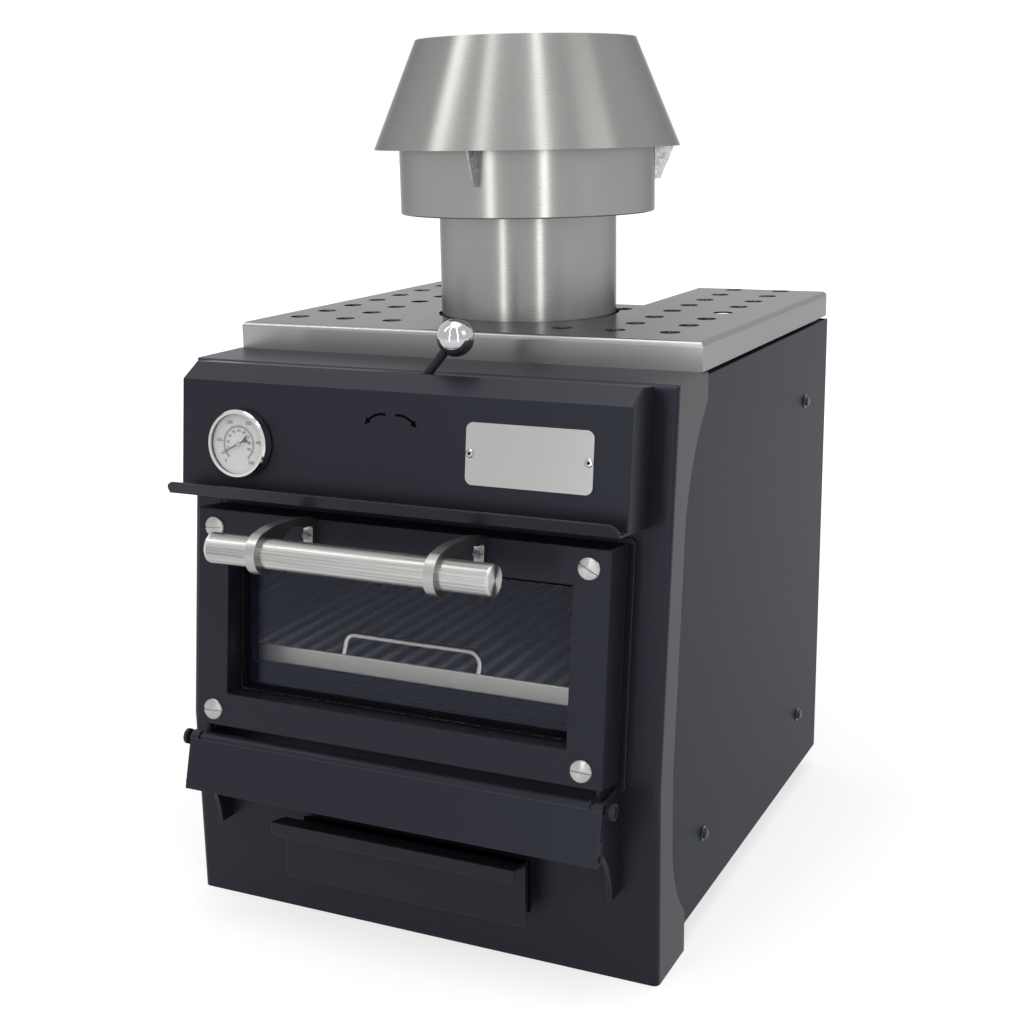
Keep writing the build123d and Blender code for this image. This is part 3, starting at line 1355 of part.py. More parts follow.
# Damper: shaft through the flue, butterfly plate, lever and knob
bush_length = 10.0
bush_radius = 11.0
shaft_front = lever_y - 9.0
shaft_rear = flue_y + flue_radius + bush_length + 3.0
with BuildPart() as damper_bushes:
    for near, far in ((flue_y - flue_radius - bush_length, flue_y - flue_radius + 2),
                      (flue_y + flue_radius - 2, flue_y + flue_radius + bush_length)):
        with BuildSketch(across(far)):
            with Locations((flue_x, shaft_z)):
                Circle(bush_radius)
                Circle(shaft_radius + running_gap, mode=Mode.SUBTRACT)
        extrude(amount=far - near)
    with BuildSketch(Plane.XY.offset(shaft_z - 20)):
        with Locations((flue_x, flue_y)):
            Circle(flue_radius)
    extrude(amount=40, mode=Mode.SUBTRACT)
    front_bush = set_back(shaft_z + bush_radius) + sheet / cos(lean)
    with BuildSketch(across(front_bush + bush_length)):
        with Locations((flue_x, shaft_z)):
            Circle(bush_radius)
            Circle(shaft_radius + running_gap, mode=Mode.SUBTRACT)
    extrude(amount=bush_length + 4)
    with BuildSketch(face(-sheet)):
        with Locations((0, slope_length / 2)):
            Rectangle(body_width, 2 * slope_length)
    extrude(amount=40, mode=Mode.SUBTRACT)
save(damper_bushes.part, "damper_bushes")

with BuildPart() as damper_shaft:
    with BuildSketch(across(shaft_rear)):
        with Locations((flue_x, shaft_z)):
            Circle(shaft_radius)
    extrude(amount=shaft_rear - shaft_front)
save(damper_shaft.part, "damper_shaft")

tilt = radians(lever_angle)
knob_place = (flue_x + lever_length * sin(tilt), lever_y, shaft_z + lever_length * cos(tilt))
lever_plane = Plane(origin=(flue_x, lever_y, shaft_z), x_dir=(0, 1, 0),
                    z_dir=(sin(tilt), 0, cos(tilt)))
hub_radius = 10.0
with BuildPart() as damper_lever:
    with BuildSketch(across(lever_y + 7)):
        with Locations((flue_x, shaft_z)):
            Circle(hub_radius)
    extrude(amount=14)
    with BuildSketch(lever_plane.offset(shaft_radius - 1)):
        Circle(lever_radius)
    extrude(amount=lever_length - knob_radius + 3 - shaft_radius + 1)
    with BuildSketch(across(lever_y + 20)):
        with Locations((flue_x, shaft_z)):
            Circle(shaft_radius)
    extrude(amount=40, mode=Mode.SUBTRACT)
save(damper_lever.part, "damper_lever")

with BuildPart() as damper_knob:
    with Locations(knob_place):
        Sphere(knob_radius)
    with BuildSketch(lever_plane.offset(lever_length - knob_radius - 2)):
        Circle(lever_radius)
    extrude(amount=5, mode=Mode.SUBTRACT)
save(damper_knob.part, "damper_knob")

with BuildPart() as damper_plate:
    with BuildSketch(Plane.XY.offset(shaft_z + shaft_radius)):
        with Locations((flue_x, flue_y)):
            Circle(damper_radius)
    extrude(amount=damper_thickness)
    with BuildSketch(Plane.XY.offset(shaft_z + shaft_radius + damper_thickness)):
        with Locations((flue_x, flue_y - 50), (flue_x, flue_y + 50)):
            RegularPolygon(6.5, 6)
    extrude(amount=4.0)
save(damper_plate.part, "damper_plate")

# Bolts on the side panels, and the grease plug on the right side
with BuildPart() as panel_bolts:
    for side in (-1, 1):
        with BuildSketch(profile(side * side_face)):
            with Locations(*bolt_spots):
                Circle(bolt_head_radius)
        extrude(amount=side * 1.5)
        with BuildSketch(profile(side * (side_face + 1.5))):
            with Locations(*bolt_spots):
                RegularPolygon(bolt_radius, 6)
        extrude(amount=side * 3.5)
save(panel_bolts.part, "panel_bolts")

with BuildPart() as grease_plug:
    with BuildSketch(profile(side_face)):
        with Locations(grease_spot):
            Circle(bolt_head_radius)
    extrude(amount=1.5)
    with BuildSketch(profile(side_face + 1.5)):
        with Locations(grease_spot):
            RegularPolygon(bolt_radius, 6)
    extrude(amount=3.5)
save(grease_plug.part, "grease_plug")

# Every piece moves back by the same amount, so that the origin is on the floor
# under the middle of the whole oven
front_reach = min(part.bounding_box().min.Y for part in pieces.values())
rear_reach = max(part.bounding_box().max.Y for part in pieces.values())
middle = (front_reach + rear_reach) / 2
for name, part in pieces.items():
    placed = part.moved(Location((0, -middle, 0)))
    placed.label = name
    export_step(placed, f"parts/{name}.step")
print(f"fascia's lower front face at y = {-middle:.3f}")
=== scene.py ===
"""Looks for the charcoal oven: materials, printed and woven detail, studio light and
the photograph's camera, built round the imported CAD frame. Metres, +Z up, front at -Y."""
import json
import math

import bmesh
import bpy
from mathutils import Matrix, Vector


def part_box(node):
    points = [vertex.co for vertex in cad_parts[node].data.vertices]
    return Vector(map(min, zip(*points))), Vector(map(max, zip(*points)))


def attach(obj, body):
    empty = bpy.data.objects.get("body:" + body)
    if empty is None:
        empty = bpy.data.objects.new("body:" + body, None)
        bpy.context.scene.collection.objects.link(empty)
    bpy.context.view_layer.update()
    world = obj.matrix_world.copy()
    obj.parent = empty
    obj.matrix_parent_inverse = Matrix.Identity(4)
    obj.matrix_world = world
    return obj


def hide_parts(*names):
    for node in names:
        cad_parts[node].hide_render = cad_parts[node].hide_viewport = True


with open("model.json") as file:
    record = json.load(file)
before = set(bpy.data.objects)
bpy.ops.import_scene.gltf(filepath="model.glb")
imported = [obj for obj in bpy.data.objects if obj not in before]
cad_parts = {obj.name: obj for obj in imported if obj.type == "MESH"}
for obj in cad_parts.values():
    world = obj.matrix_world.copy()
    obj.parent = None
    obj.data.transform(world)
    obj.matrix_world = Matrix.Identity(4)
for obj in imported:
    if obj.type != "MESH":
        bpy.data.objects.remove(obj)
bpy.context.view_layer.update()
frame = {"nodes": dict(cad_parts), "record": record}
nodes = frame["nodes"]
slot_of = {entry["node"]: entry["material_slot"] for entry in frame["record"]["subparts"]}
scene = bpy.context.scene

# Frame: the fascia's lower front face, and the face that leans back above the bend
FASCIA_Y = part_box("front_fascia")[0].y
BEND_Z = 0.228
LEAN_RUN = 0.0498
LEAN_RISE = 0.420
LEAN = math.atan2(LEAN_RUN, LEAN_RISE)
SIDE_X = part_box("side_panel_right")[1].x
LEAN_AXES = Matrix(((1, 0, 0), (0, math.sin(LEAN), -math.cos(LEAN)),
                    (0, math.cos(LEAN), math.sin(LEAN)))).to_4x4()
LEAN_AXES.translation = Vector((0, FASCIA_Y, BEND_Z))

# Door window, in distances along and out of the leaning face
WINDOW_HALF = 0.211
WINDOW_LOW = 0.045
WINDOW_HIGH = 0.2175
WINDOW_LIP_OUT = 0.023
LIP_THICKNESS = 0.003
CAD_LIP = 0.020             # width of both lips in the solids
LIP_WIDTH = 0.0065          # and as the photograph shows them
REAR_LIP = 0.0085
TAPE_THICKNESS = 0.0007
TAPE_CLEARANCE = 0.0003     # from the recess's wall
EDGE_LIFT = 0.0002          # edge strip above the lip's rear face
EDGE_DEPTH = LIP_THICKNESS - EDGE_LIFT + TAPE_THICKNESS
CORD_RADIUS = 0.0011
CORD_INSET = 0.0016
CORD_SEAT = 0.8             # cord's height over the tape, in its radius
CORD_LAY = 0.0034           # length of one twist

# Cooking grill
ROD_COUNT = 18
ROD_PITCH = 0.024
ROD_WIDTH = 0.0226
ROD_DEPTH = 0.0095
ROD_WALL = 0.0014
ROD_DROP = 0.002            # rods' top under the bars' top
ROD_HIGHLIGHT_SHARE = 0.4             # top share of a rod's depth over which it lightens from soot and painted shade to a painted highlight
BAR_THICKNESS = 0.004
BAR_ROUNDING = 0.0014
GRIP_RADIUS = 0.0038
GRIP_X = (-0.093, 0.079)
GRIP_BENDS = (0.009, 0.016)
GRIP_BEND_STEPS = 8
GRIP_RISE = 0.023
GRIP_LEAN = math.radians(25)

# Control panel and thermometer
PANEL_OUT = 0.058
DIAL_OUT = PANEL_OUT + 0.009
DIAL_CENTRE = Vector((-0.188, 0.335))       # across, and along the leaning face
ARROW_THICKNESS = 0.0003
ARROW_SINK = 0.0001


def on_lean(x, along, out):
    """Point given along and out of the leaning face."""
    return LEAN_AXES @ Vector((x, along, out))


# Shader helpers
def new_material(name, **values):
    """Principled material with its plain values set on its own sockets."""
    material = bpy.data.materials.new(name)
    material.use_nodes = True
    shader = material.node_tree.nodes["Principled BSDF"]
    for socket, value in values.items():
        shader.inputs[socket.replace("_", " ")].default_value = value
    return material, material.node_tree, shader


def texture_point(tree, scale=(1, 1, 1)):
    """Object coordinates, stretched."""
    source = tree.nodes.new("ShaderNodeTexCoord")
    mapping = tree.nodes.new("ShaderNodeMapping")
    mapping.inputs["Scale"].default_value = scale
    tree.links.new(source.outputs["Object"], mapping.inputs["Vector"])
    return mapping.outputs["Vector"]


def noise(tree, point, scale, detail=3.0, roughness=0.5):
    """Noise value between 0 and 1."""
    node = tree.nodes.new("ShaderNodeTexNoise")
    node.inputs["Scale"].default_value = scale
    node.inputs["Detail"].default_value = detail
    node.inputs["Roughness"].default_value = roughness
    tree.links.new(point, node.inputs["Vector"])
    return node.outputs["Fac"]


def spread(tree, value, low, high, start=0.0, end=1.0):
    """Map a value's stretch start..end to low..high."""
    node = tree.nodes.new("ShaderNodeMapRange")
    node.inputs["From Min"].default_value = start
    node.inputs["From Max"].default_value = end
    node.inputs["To Min"].default_value = low
    node.inputs["To Max"].default_value = high
    tree.links.new(value, node.inputs["Value"])
    return node.outputs["Result"]


def tint(tree, value, dark, light):
    """Colour between two colours."""
    node = tree.nodes.new("ShaderNodeMix")
    node.data_type = "RGBA"
    node.inputs["A"].default_value = (*dark, 1)
    node.inputs["B"].default_value = (*light, 1)
    tree.links.new(value, node.inputs["Factor"])
    return node.outputs["Result"]


def bump(tree, shader, value, distance):
    """Bump from a value, with its real height in metres."""
    node = tree.nodes.new("ShaderNodeBump")
    node.inputs["Strength"].default_value = 1.0
    node.inputs["Distance"].default_value = distance
    tree.links.new(value, node.inputs["Height"])
    tree.links.new(node.outputs["Normal"], shader.inputs["Normal"])
    return node


# Materials
COAT_TINT = (0.80, 0.84, 1.0, 1)    # bluish sheen of the charcoal coat
EDGE_HIGHLIGHT_RADIUS = 0.0012              # reach of the painted highlight along an edge
EDGE_HIGHLIGHT_SPAN = (0.80, 0.98)            # likeness of the two normals: fully highlighted, and plain
NOISE_SPAN = (0.3, 0.7)             # where most of a noise's values lie
FINE_SHARE = 0.6                    # fine grain's part in the roughness; the rest is cloudiness


def edge_nearness(tree):
    """0 on flat faces, rising to 1 along their edges; and the rounded normal there."""
    rounded = tree.nodes.new("ShaderNodeBevel")
    rounded.inputs["Radius"].default_value = EDGE_HIGHLIGHT_RADIUS
    surface = tree.nodes.new("ShaderNodeNewGeometry")
    alike = tree.nodes.new("ShaderNodeVectorMath")
    alike.operation = "DOT_PRODUCT"
    tree.links.new(rounded.outputs["Normal"], alike.inputs[0])
    tree.links.new(surface.outputs["Normal"], alike.inputs[1])
    near = spread(tree, alike.outputs["Value"], 1.0, 0.0, *EDGE_HIGHLIGHT_SPAN)
    return near, rounded.outputs["Normal"]


def powder_coat(name, dark, light, roughness, grain=900.0, height=0.00006, ior=1.33, edge_highlight=None):
    """Satin powder coat: fine orange peel and faint cloudiness; the edge colour, when given, is a
    painted highlight that lightens its edges where bends would catch light."""
    material, tree, shader = new_material(name, Metallic=0.0, IOR=ior, Specular_Tint=COAT_TINT)
    point = texture_point(tree)
    cloud = noise(tree, point, 5.0, 4.0)
    color = tint(tree, cloud, dark, light)
    speck = noise(tree, point, grain, 2.0)
    rough = spread(tree, speck, roughness - 0.05, roughness + 0.06, *NOISE_SPAN)
    tree.links.new(rough, shader.inputs["Roughness"])
    relief = bump(tree, shader, speck, height)
    # Painted highlight: along edges the colour lightens towards the edge colour
    if edge_highlight:
        near, rounded = edge_nearness(tree)
        highlighted = tint(tree, near, dark, edge_highlight)
        tree.links.new(color, highlighted.node.inputs["A"])
        tree.links.new(rounded, relief.inputs["Normal"])
        color = highlighted
    tree.links.new(color, shader.inputs["Base Color"])
    return material


def brushed(name, color, stretch, roughness, axis="Z", turn=0.25, anisotropic=0.75,
            streaks=0.03, height=0.000004, uneven=0.1, edge=0.5):
    """Brushed metal. stretch holds the grain's scale along X, Y and Z, small along
    the brush; axis and turn set which way the highlights are drawn out. edge is how
    much of its shine is left where it is seen edge on. The fine grain and a broad
    cloudiness share in the roughness."""
    material, tree, shader = new_material(
        name, Metallic=1.0, Anisotropic=anisotropic, Anisotropic_Rotation=turn,
        Specular_Tint=(edge, edge, edge, 1))
    fine = noise(tree, texture_point(tree, stretch), 1.0, 6.0, 0.65)
    broad = noise(tree, texture_point(tree), 6.0, 3.0)
    dark = tuple(c * (1 - streaks) for c in color)
    light = tuple(min(1.0, c * (1 + streaks)) for c in color)
    tree.links.new(tint(tree, spread(tree, fine, 0, 1, *NOISE_SPAN), dark, light),
                   shader.inputs["Base Color"])
    mixed = tree.nodes.new("ShaderNodeMath")
    mixed.operation = "MULTIPLY_ADD"
    mixed.inputs[1].default_value = FINE_SHARE
    tree.links.new(fine, mixed.inputs[0])
    tree.links.new(spread(tree, broad, 0, 1 - FINE_SHARE, *NOISE_SPAN), mixed.inputs[2])
    rough = spread(tree, mixed.outputs["Value"], roughness * (1 - uneven), roughness * (1 + uneven),
                   0.2, 0.8)
    tree.links.new(rough, shader.inputs["Roughness"])
    bump(tree, shader, fine, height)
    tangent = tree.nodes.new("ShaderNodeTangent")
    tangent.direction_type = "RADIAL"
    tangent.axis = axis
    tree.links.new(tangent.outputs["Tangent"], shader.inputs["Tangent"])
    return material


def smooth_metal(name, color, roughness, grain=400.0, height=0.00001):
    """Polished or cast metal with a faint surface of its own."""
    material, tree, shader = new_material(name, Metallic=1.0)
    speck = noise(tree, texture_point(tree), grain, 4.0)
    dark = tuple(c * 0.94 for c in color)
    tree.links.new(tint(tree, speck, dark, color), shader.inputs["Base Color"])
    rough = spread(tree, speck, roughness * 0.8, roughness * 1.25, *NOISE_SPAN)
    tree.links.new(rough, shader.inputs["Roughness"])
    bump(tree, shader, speck, height)
    return material


def spangled(name, color):
    """Galvanised sheet: patches of spangle."""
    material, tree, shader = new_material(name, Metallic=1.0)
    cells = tree.nodes.new("ShaderNodeTexVoronoi")
    cells.inputs["Scale"].default_value = 180.0
    tree.links.new(texture_point(tree), cells.inputs["Vector"])
    value = tree.nodes.new("ShaderNodeSeparateColor")
    tree.links.new(cells.outputs["Color"], value.inputs["Color"])
    dark = tuple(c * 0.75 for c in color)
    tree.links.new(tint(tree, value.outputs["Red"], dark, color), shader.inputs["Base Color"])
    tree.links.new(spread(tree, value.outputs["Green"], 0.2, 0.5), shader.inputs["Roughness"])
    bump(tree, shader, value.outputs["Blue"], 0.0002)
    return material


def fibrous(name, dark, light, scale, height, span=NOISE_SPAN):
    """Rope, wool or rubber: matt, with fibres; span is the stretch of the noise over
    which they go from dark to light."""
    material, tree, shader = new_material(name, Metallic=0.0, Roughness=0.9, IOR=1.25)
    hairs = noise(tree, texture_point(tree, (1, 1, 2.5)), scale, 5.0, 0.7)
    tree.links.new(tint(tree, spread(tree, hairs, 0, 1, *span), dark, light),
                   shader.inputs["Base Color"])
    bump(tree, shader, hairs, height)
    return material


def sooty_steel(name, soot_and_shade, steel, low, high, roughness):
    """Steel dark with soot and painted shade up to a height, lightening above it to a painted
    highlight.
    """
    material, tree, shader = new_material(name, Metallic=0.15)
    height = tree.nodes.new("ShaderNodeSeparateXYZ")
    point = texture_point(tree)
    tree.links.new(point, height.inputs["Vector"])
    # Painted shade and soot low down, painted highlight at the top: the colour lightens with height
    highlight_share = spread(tree, height.outputs["Z"], 0, 1, low, high)
    tree.links.new(tint(tree, highlight_share, soot_and_shade, steel), shader.inputs["Base Color"])
    stain = noise(tree, point, 30.0, 3.0)
    tree.links.new(spread(tree, stain, roughness * 0.9, roughness * 1.1),
                   shader.inputs["Roughness"])
    return material


def glazing(name, color, alpha, roughness=0.03):
    """Glass pane that lets light through by its alpha."""
    material, tree, shader = new_material(name, Metallic=0.0, Alpha=alpha, IOR=1.6,
                                          Specular_Tint=COAT_TINT)
    shader.inputs["Base Color"].default_value = (*color, 1)
    smear = noise(tree, texture_point(tree), 14.0, 3.0)
    tree.links.new(spread(tree, smear, roughness, roughness * 2.2, 0.35, 0.7),
                   shader.inputs["Roughness"])
    return material


PAINTED_EDGE_HIGHLIGHT = (0.085, 0.09, 0.11)   # painted highlight along the coat's edges
FLUE_GRAIN = (14, 14, 2600)
PLATE_GRAIN = (10, 1800, 1800)
MATERIALS = {
    "charcoal_coat": powder_coat("charcoal_coat", (0.0110, 0.0115, 0.0165),
                                 (0.0130, 0.0135, 0.019), 0.38, ior=1.32, edge_highlight=PAINTED_EDGE_HIGHLIGHT),
    "black_steel": powder_coat("black_steel", (0.012, 0.0125, 0.016), (0.019, 0.0195, 0.024),
                               0.6, 900.0, 0.000004),
    "brushed_stainless": brushed("brushed_stainless", (0.275, 0.272, 0.264), FLUE_GRAIN, 0.27),
    "polished_steel": smooth_metal("polished_steel", (0.40, 0.40, 0.395), 0.2),
    "bracket_steel": brushed("bracket_steel", (0.36, 0.36, 0.355), (1600, 30, 1600), 0.3, "X", 0.0,
                             0.3),
    "chrome": smooth_metal("chrome", (0.46, 0.46, 0.47), 0.04, 60.0, 0.000004),
    "galvanised": spangled("galvanised", (0.46, 0.47, 0.48)),
    "grill_steel": brushed("grill_steel", (0.56, 0.55, 0.52), (8, 900, 900), 0.32, "X", 0.0, 0.4),
    "cast_iron": powder_coat("cast_iron", (0.022, 0.022, 0.026), (0.032, 0.032, 0.036), 0.75,
                             300.0, 0.00002),
    "black_rope": fibrous("black_rope", (0.004, 0.004, 0.004), (0.024, 0.024, 0.025), 900.0,
                          0.0003),
    "mineral_wool": fibrous("mineral_wool", (0.35, 0.30, 0.2), (0.6, 0.54, 0.4), 220.0, 0.002),
    "black_rubber": fibrous("black_rubber", (0.012, 0.012, 0.012), (0.022, 0.022, 0.022), 500.0,
                            0.00005),
    "brass": smooth_metal("brass", (0.72, 0.55, 0.26), 0.25),
    "dial_enamel": powder_coat("dial_enamel", (0.74, 0.74, 0.72), (0.78, 0.78, 0.76), 0.45,
                               500.0, 0.00001),
    "needle_paint": powder_coat("needle_paint", (0.012, 0.012, 0.012), (0.02, 0.02, 0.02), 0.4),
    "dark_glass": glazing("dark_glass", (0.012, 0.013, 0.032), 0.25),
    "clear_glass": glazing("clear_glass", (0.9, 0.92, 0.93), 0.08, 0.02),
}
FLAT_BRUSHED = brushed("brushed_plate", (0.40, 0.40, 0.395), PLATE_GRAIN, 0.24, "X", 0.0, 0.75,
                       edge=0.75)
BAR_BRUSHED = brushed("brushed_bar", (0.37, 0.366, 0.357), (2, 300, 300), 0.28, "X", 0.0, 0.6,
                      0.55, 0.00001, 0.2, edge=0.8)
TURNED_CAP = brushed("turned_cap", (0.52, 0.515, 0.5), (900, 900, 900), 0.42, "X", 0.25, 0.92)
BEZEL_CHROME = smooth_metal("bezel_chrome", (0.60, 0.60, 0.595), 0.07, 80.0, 0.000004)
RODS_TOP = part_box("cooking_grill")[1].z - ROD_DROP
# Rods: soot and painted shade low in each V, painted highlight along the rims
ROD_SHADED_STEEL = sooty_steel("rod_steel_shade_and_highlight", (0.03, 0.03, 0.038), (0.75, 0.75, 0.80),
                        RODS_TOP - ROD_DEPTH * ROD_HIGHLIGHT_SHARE, RODS_TOP, 0.55)
GRILL_BAR = brushed("grill_bar", (0.88, 0.87, 0.81), (8, 700, 700), 0.42, "X", 0.0, 0.3)
GRIP_STEEL = smooth_metal("grip_steel", (0.84, 0.835, 0.80), 0.19, 60.0, 0.000002)
# Painted shade: the side panels get a darker, bluer copy of the same charcoal coat
SHADED_SIDE_COAT = powder_coat("side_coat_painted_shade", (0.005, 0.009, 0.019), (0.007, 0.011, 0.022), 0.46,
                        ior=1.20, edge_highlight=PAINTED_EDGE_HIGHLIGHT)
COVER_BRUSHED = brushed("brushed_cover", (0.31, 0.31, 0.306), PLATE_GRAIN, 0.24, "X", 0.0, 0.75,
                        edge=0.6)
SCREW_STEEL = brushed("turned_screw", (0.37, 0.368, 0.36), (900, 900, 900), 0.34, "Z", 0.25, 0.8)
BOLT_BLACK = powder_coat("bolt_black", (0.010, 0.010, 0.012), (0.014, 0.014, 0.017), 0.25,
                         ior=1.5)

OWN_FINISH = {
    "top_cover": COVER_BRUSHED,
    "name_plate": FLAT_BRUSHED,
    "handle_bar": BAR_BRUSHED,
    "handle_end_caps": TURNED_CAP,
    "thermometer_bezel": BEZEL_CHROME,
    "side_panel_left": SHADED_SIDE_COAT,
    "side_panel_right": SHADED_SIDE_COAT,
}
for node_name, slot_name in slot_of.items():
    for slot_holder in nodes[node_name].material_slots:
        slot_holder.material = MATERIALS[slot_name]
for node_name, finish in OWN_FINISH.items():
    nodes[node_name].material_slots[0].material = finish

# Inks, black painted shade for cut-through marks and recesses, and the window seal
DIAL_INK = powder_coat("dial_ink", (0.10, 0.10, 0.105), (0.13, 0.13, 0.135), 0.5)
DIAL_BAND = powder_coat("dial_band", (0.30, 0.29, 0.275), (0.34, 0.33, 0.315), 0.5)
POINTER_INK = powder_coat("pointer_ink", (0.014, 0.014, 0.02), (0.02, 0.02, 0.026), 0.5)
# Painted shade: near-black standing for the dark inside holes and recesses
SHADE_BLACK = powder_coat("painted_shade_black", (0.0015, 0.0015, 0.002), (0.003, 0.003, 0.004), 0.8,
                        ior=1.05)
# Woven tape, near-black: partly its own colour, partly painted shade of the window's recess
TAPE_AND_SHADE_BLACK = powder_coat("tape_and_shade_black", (0.002, 0.002, 0.0025), (0.006, 0.006, 0.007), 0.9,
                         600.0, 0.0004, ior=1.15)
# Cord: near-black fibres with light flecks that are painted highlights of the twisted strands
SEAL_THREAD_GLINTS = fibrous("seal_thread_painted_glints", (0.003, 0.003, 0.004), (0.11, 0.11, 0.12), 300.0, 0.0003,
                      (0.52, 0.68))


# Mesh helpers
def mesh_object(name, points, faces, material, body, smooth=False):
    """Mesh piece that rides on a body."""
    mesh = bpy.data.meshes.new(name)
    mesh.from_pydata([tuple(p) for p in points], [], faces)
    mesh.update()
    if smooth:
        mesh.polygons.foreach_set("use_smooth", [True] * len(mesh.polygons))
    piece = bpy.data.objects.new(name, mesh)
    scene.collection.objects.link(piece)
    piece.data.materials.append(material)
    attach(piece, body)
    return piece


def flat_strokes(name, strokes, out, thickness, material, body):
    """Thin raised outlines on the leaning face. Each stroke is a list of (x, along)
    corners, anticlockwise seen from the front."""
    points, faces = [], []
    for stroke in strokes:
        first, count = len(points), len(stroke)
        for level in (0.0, thickness):
            points += [on_lean(x, along, out + level) for x, along in stroke]
        faces.append([first + count + i for i in range(count)])
        faces.append([first + i for i in reversed(range(count))])
        faces += [[first + i, first + (i + 1) % count, first + count + (i + 1) % count,
                   first + count + i] for i in range(count)]
    return mesh_object(name, points, faces, material, body)


ROPE_BEND = (0.5625, 0.0625)    # middle of a bend: towards the corner, and towards its end
ROPE_ROUND = 1.6                # where a bend starts before the corner, in the rope's radius
STRAND_RELIEF = 0.18            # depth of the strands, in the rope's radius


def rope_ring(name, corners, radius, lift, lay, material, body, strands=3,
              step=0.0012, sides=10):
    """Twisted rope along a closed rectangle with rounded corners, on the leaning face.
    lay is the length of one twist."""
    path = []
    round_off = radius * ROPE_ROUND
    for index, corner in enumerate(corners):
        before = Vector(corners[index - 1])
        after = Vector(corners[(index + 1) % len(corners)])
        corner = Vector(corner)
        start = corner + (before - corner).normalized() * round_off
        end = corner + (after - corner).normalized() * round_off
        middle = start + (corner - start) * ROPE_BEND[0] + (end - start) * ROPE_BEND[1]
        path += [start, middle, end]
    dense = []
    for index, point in enumerate(path):
        following = path[(index + 1) % len(path)]
        pieces = max(1, round((following - point).length / step))
        dense += [point.lerp(following, i / pieces) for i in range(pieces)]
    points, faces, run = [], [], 0.0
    count = len(dense)
    for index, point in enumerate(dense):
        ahead = dense[(index + 1) % count] - dense[index - 1]
        across = Vector((ahead.y, -ahead.x)).normalized()
        for side in range(sides):
            angle = 2 * math.pi * side / sides
            ridge = abs(math.sin(strands * angle / 2 + math.pi * run / lay))
            reach = radius * (1 - STRAND_RELIEF + STRAND_RELIEF * ridge)
            flat = point + across * reach * math.cos(angle)
            points.append(on_lean(flat.x, flat.y, lift + reach * math.sin(angle)))
        run += (dense[(index + 1) % count] - point).length
    for index in range(count):
        ring, following = index * sides, ((index + 1) % count) * sides
        faces += [[ring + s, ring + (s + 1) % sides, following + (s + 1) % sides, following + s]
                  for s in range(sides)]
    return mesh_object(name, points, faces, material, body, smooth=True)


# Door frames with the narrow lip round the glass that the photograph shows
def wider_opening(node, name, lip):
    """Copy of a door frame in which the lip round the glass is narrower."""
    mesh = nodes[node].data.copy()
    mesh.name = name
    to_lean = LEAN_AXES.inverted()
    half, low, high = WINDOW_HALF - CAD_LIP, WINDOW_LOW + CAD_LIP, WINDOW_HIGH - CAD_LIP
    slack = 0.0005
    for vertex in mesh.vertices:
        place = to_lean @ vertex.co
        if abs(place.x) < half + slack and low - slack < place.y < high + slack:
            place.x = math.copysign(WINDOW_HALF - lip, place.x)
            place.y = WINDOW_LOW + lip if place.y < (low + high) / 2 else WINDOW_HIGH - lip
            vertex.co = LEAN_AXES @ place
    piece = bpy.data.objects.new(name, mesh)
    scene.collection.objects.link(piece)
    for slot_holder in piece.material_slots:
        slot_holder.material = MATERIALS[slot_of[node]]
    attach(piece, "door")
    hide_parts(node)


wider_opening("door_outer_frame", "door_front_shell", LIP_WIDTH)
wider_opening("door_rear_frame", "door_back_shell", REAR_LIP)


# Window seal in its recess: a flat woven tape over the lip, whose near-black also paints the
# recess's shade, with a cord along the wall
def window_corners(inset):
    """Corners of the window's recess, drawn in by a distance, anticlockwise."""
    side, low, high = WINDOW_HALF - inset, WINDOW_LOW + inset, WINDOW_HIGH - inset
    return [(-side, low), (side, low), (side, high), (-side, high)]


def window_strips(outer_inset, inner_inset):
    """Four strips between two such outlines."""
    outer, inner = window_corners(outer_inset), window_corners(inner_inset)
    return [[outer[i], outer[(i + 1) % 4], inner[(i + 1) % 4], inner[i]] for i in range(4)]


def window_seal():
    """Tape on the lip, tape round the lip's edge, and the cord in the corner."""
    flat_strokes("window_tape", window_strips(TAPE_CLEARANCE, LIP_WIDTH), WINDOW_LIP_OUT,
                 TAPE_THICKNESS, TAPE_AND_SHADE_BLACK, "door")
    flat_strokes("window_tape_edge", window_strips(LIP_WIDTH, LIP_WIDTH + TAPE_THICKNESS),
                 WINDOW_LIP_OUT - LIP_THICKNESS + EDGE_LIFT, EDGE_DEPTH, TAPE_AND_SHADE_BLACK,
                 "door")
    cord = rope_ring("window_cord", window_corners(CORD_INSET), CORD_RADIUS,
                     WINDOW_LIP_OUT + TAPE_THICKNESS + CORD_RADIUS * CORD_SEAT, CORD_LAY,
                     SEAL_THREAD_GLINTS, "door")
    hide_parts("glass_gasket")


window_seal()


# Cooking grill: bars, and V-shaped rods as wide and as far apart as in the photograph
def add_prism(points, faces, section, start, end):
    """Add a prism along Y; its (x, z) outline runs anticlockwise seen from the front."""
    first, count = len(points), len(section)
    for y in (start, end):
        points += [(x, y, z) for x, z in section]
    faces.append([first + i for i in range(count)])
    faces.append([first + count + i for i in reversed(range(count))])
    faces += [[first + i, first + count + i, first + count + (i + 1) % count,
               first + (i + 1) % count] for i in range(count)]


def rectangle(left, right, low, high):
    """Corners, anticlockwise."""
    return [(left, low), (right, low), (right, high), (left, high)]


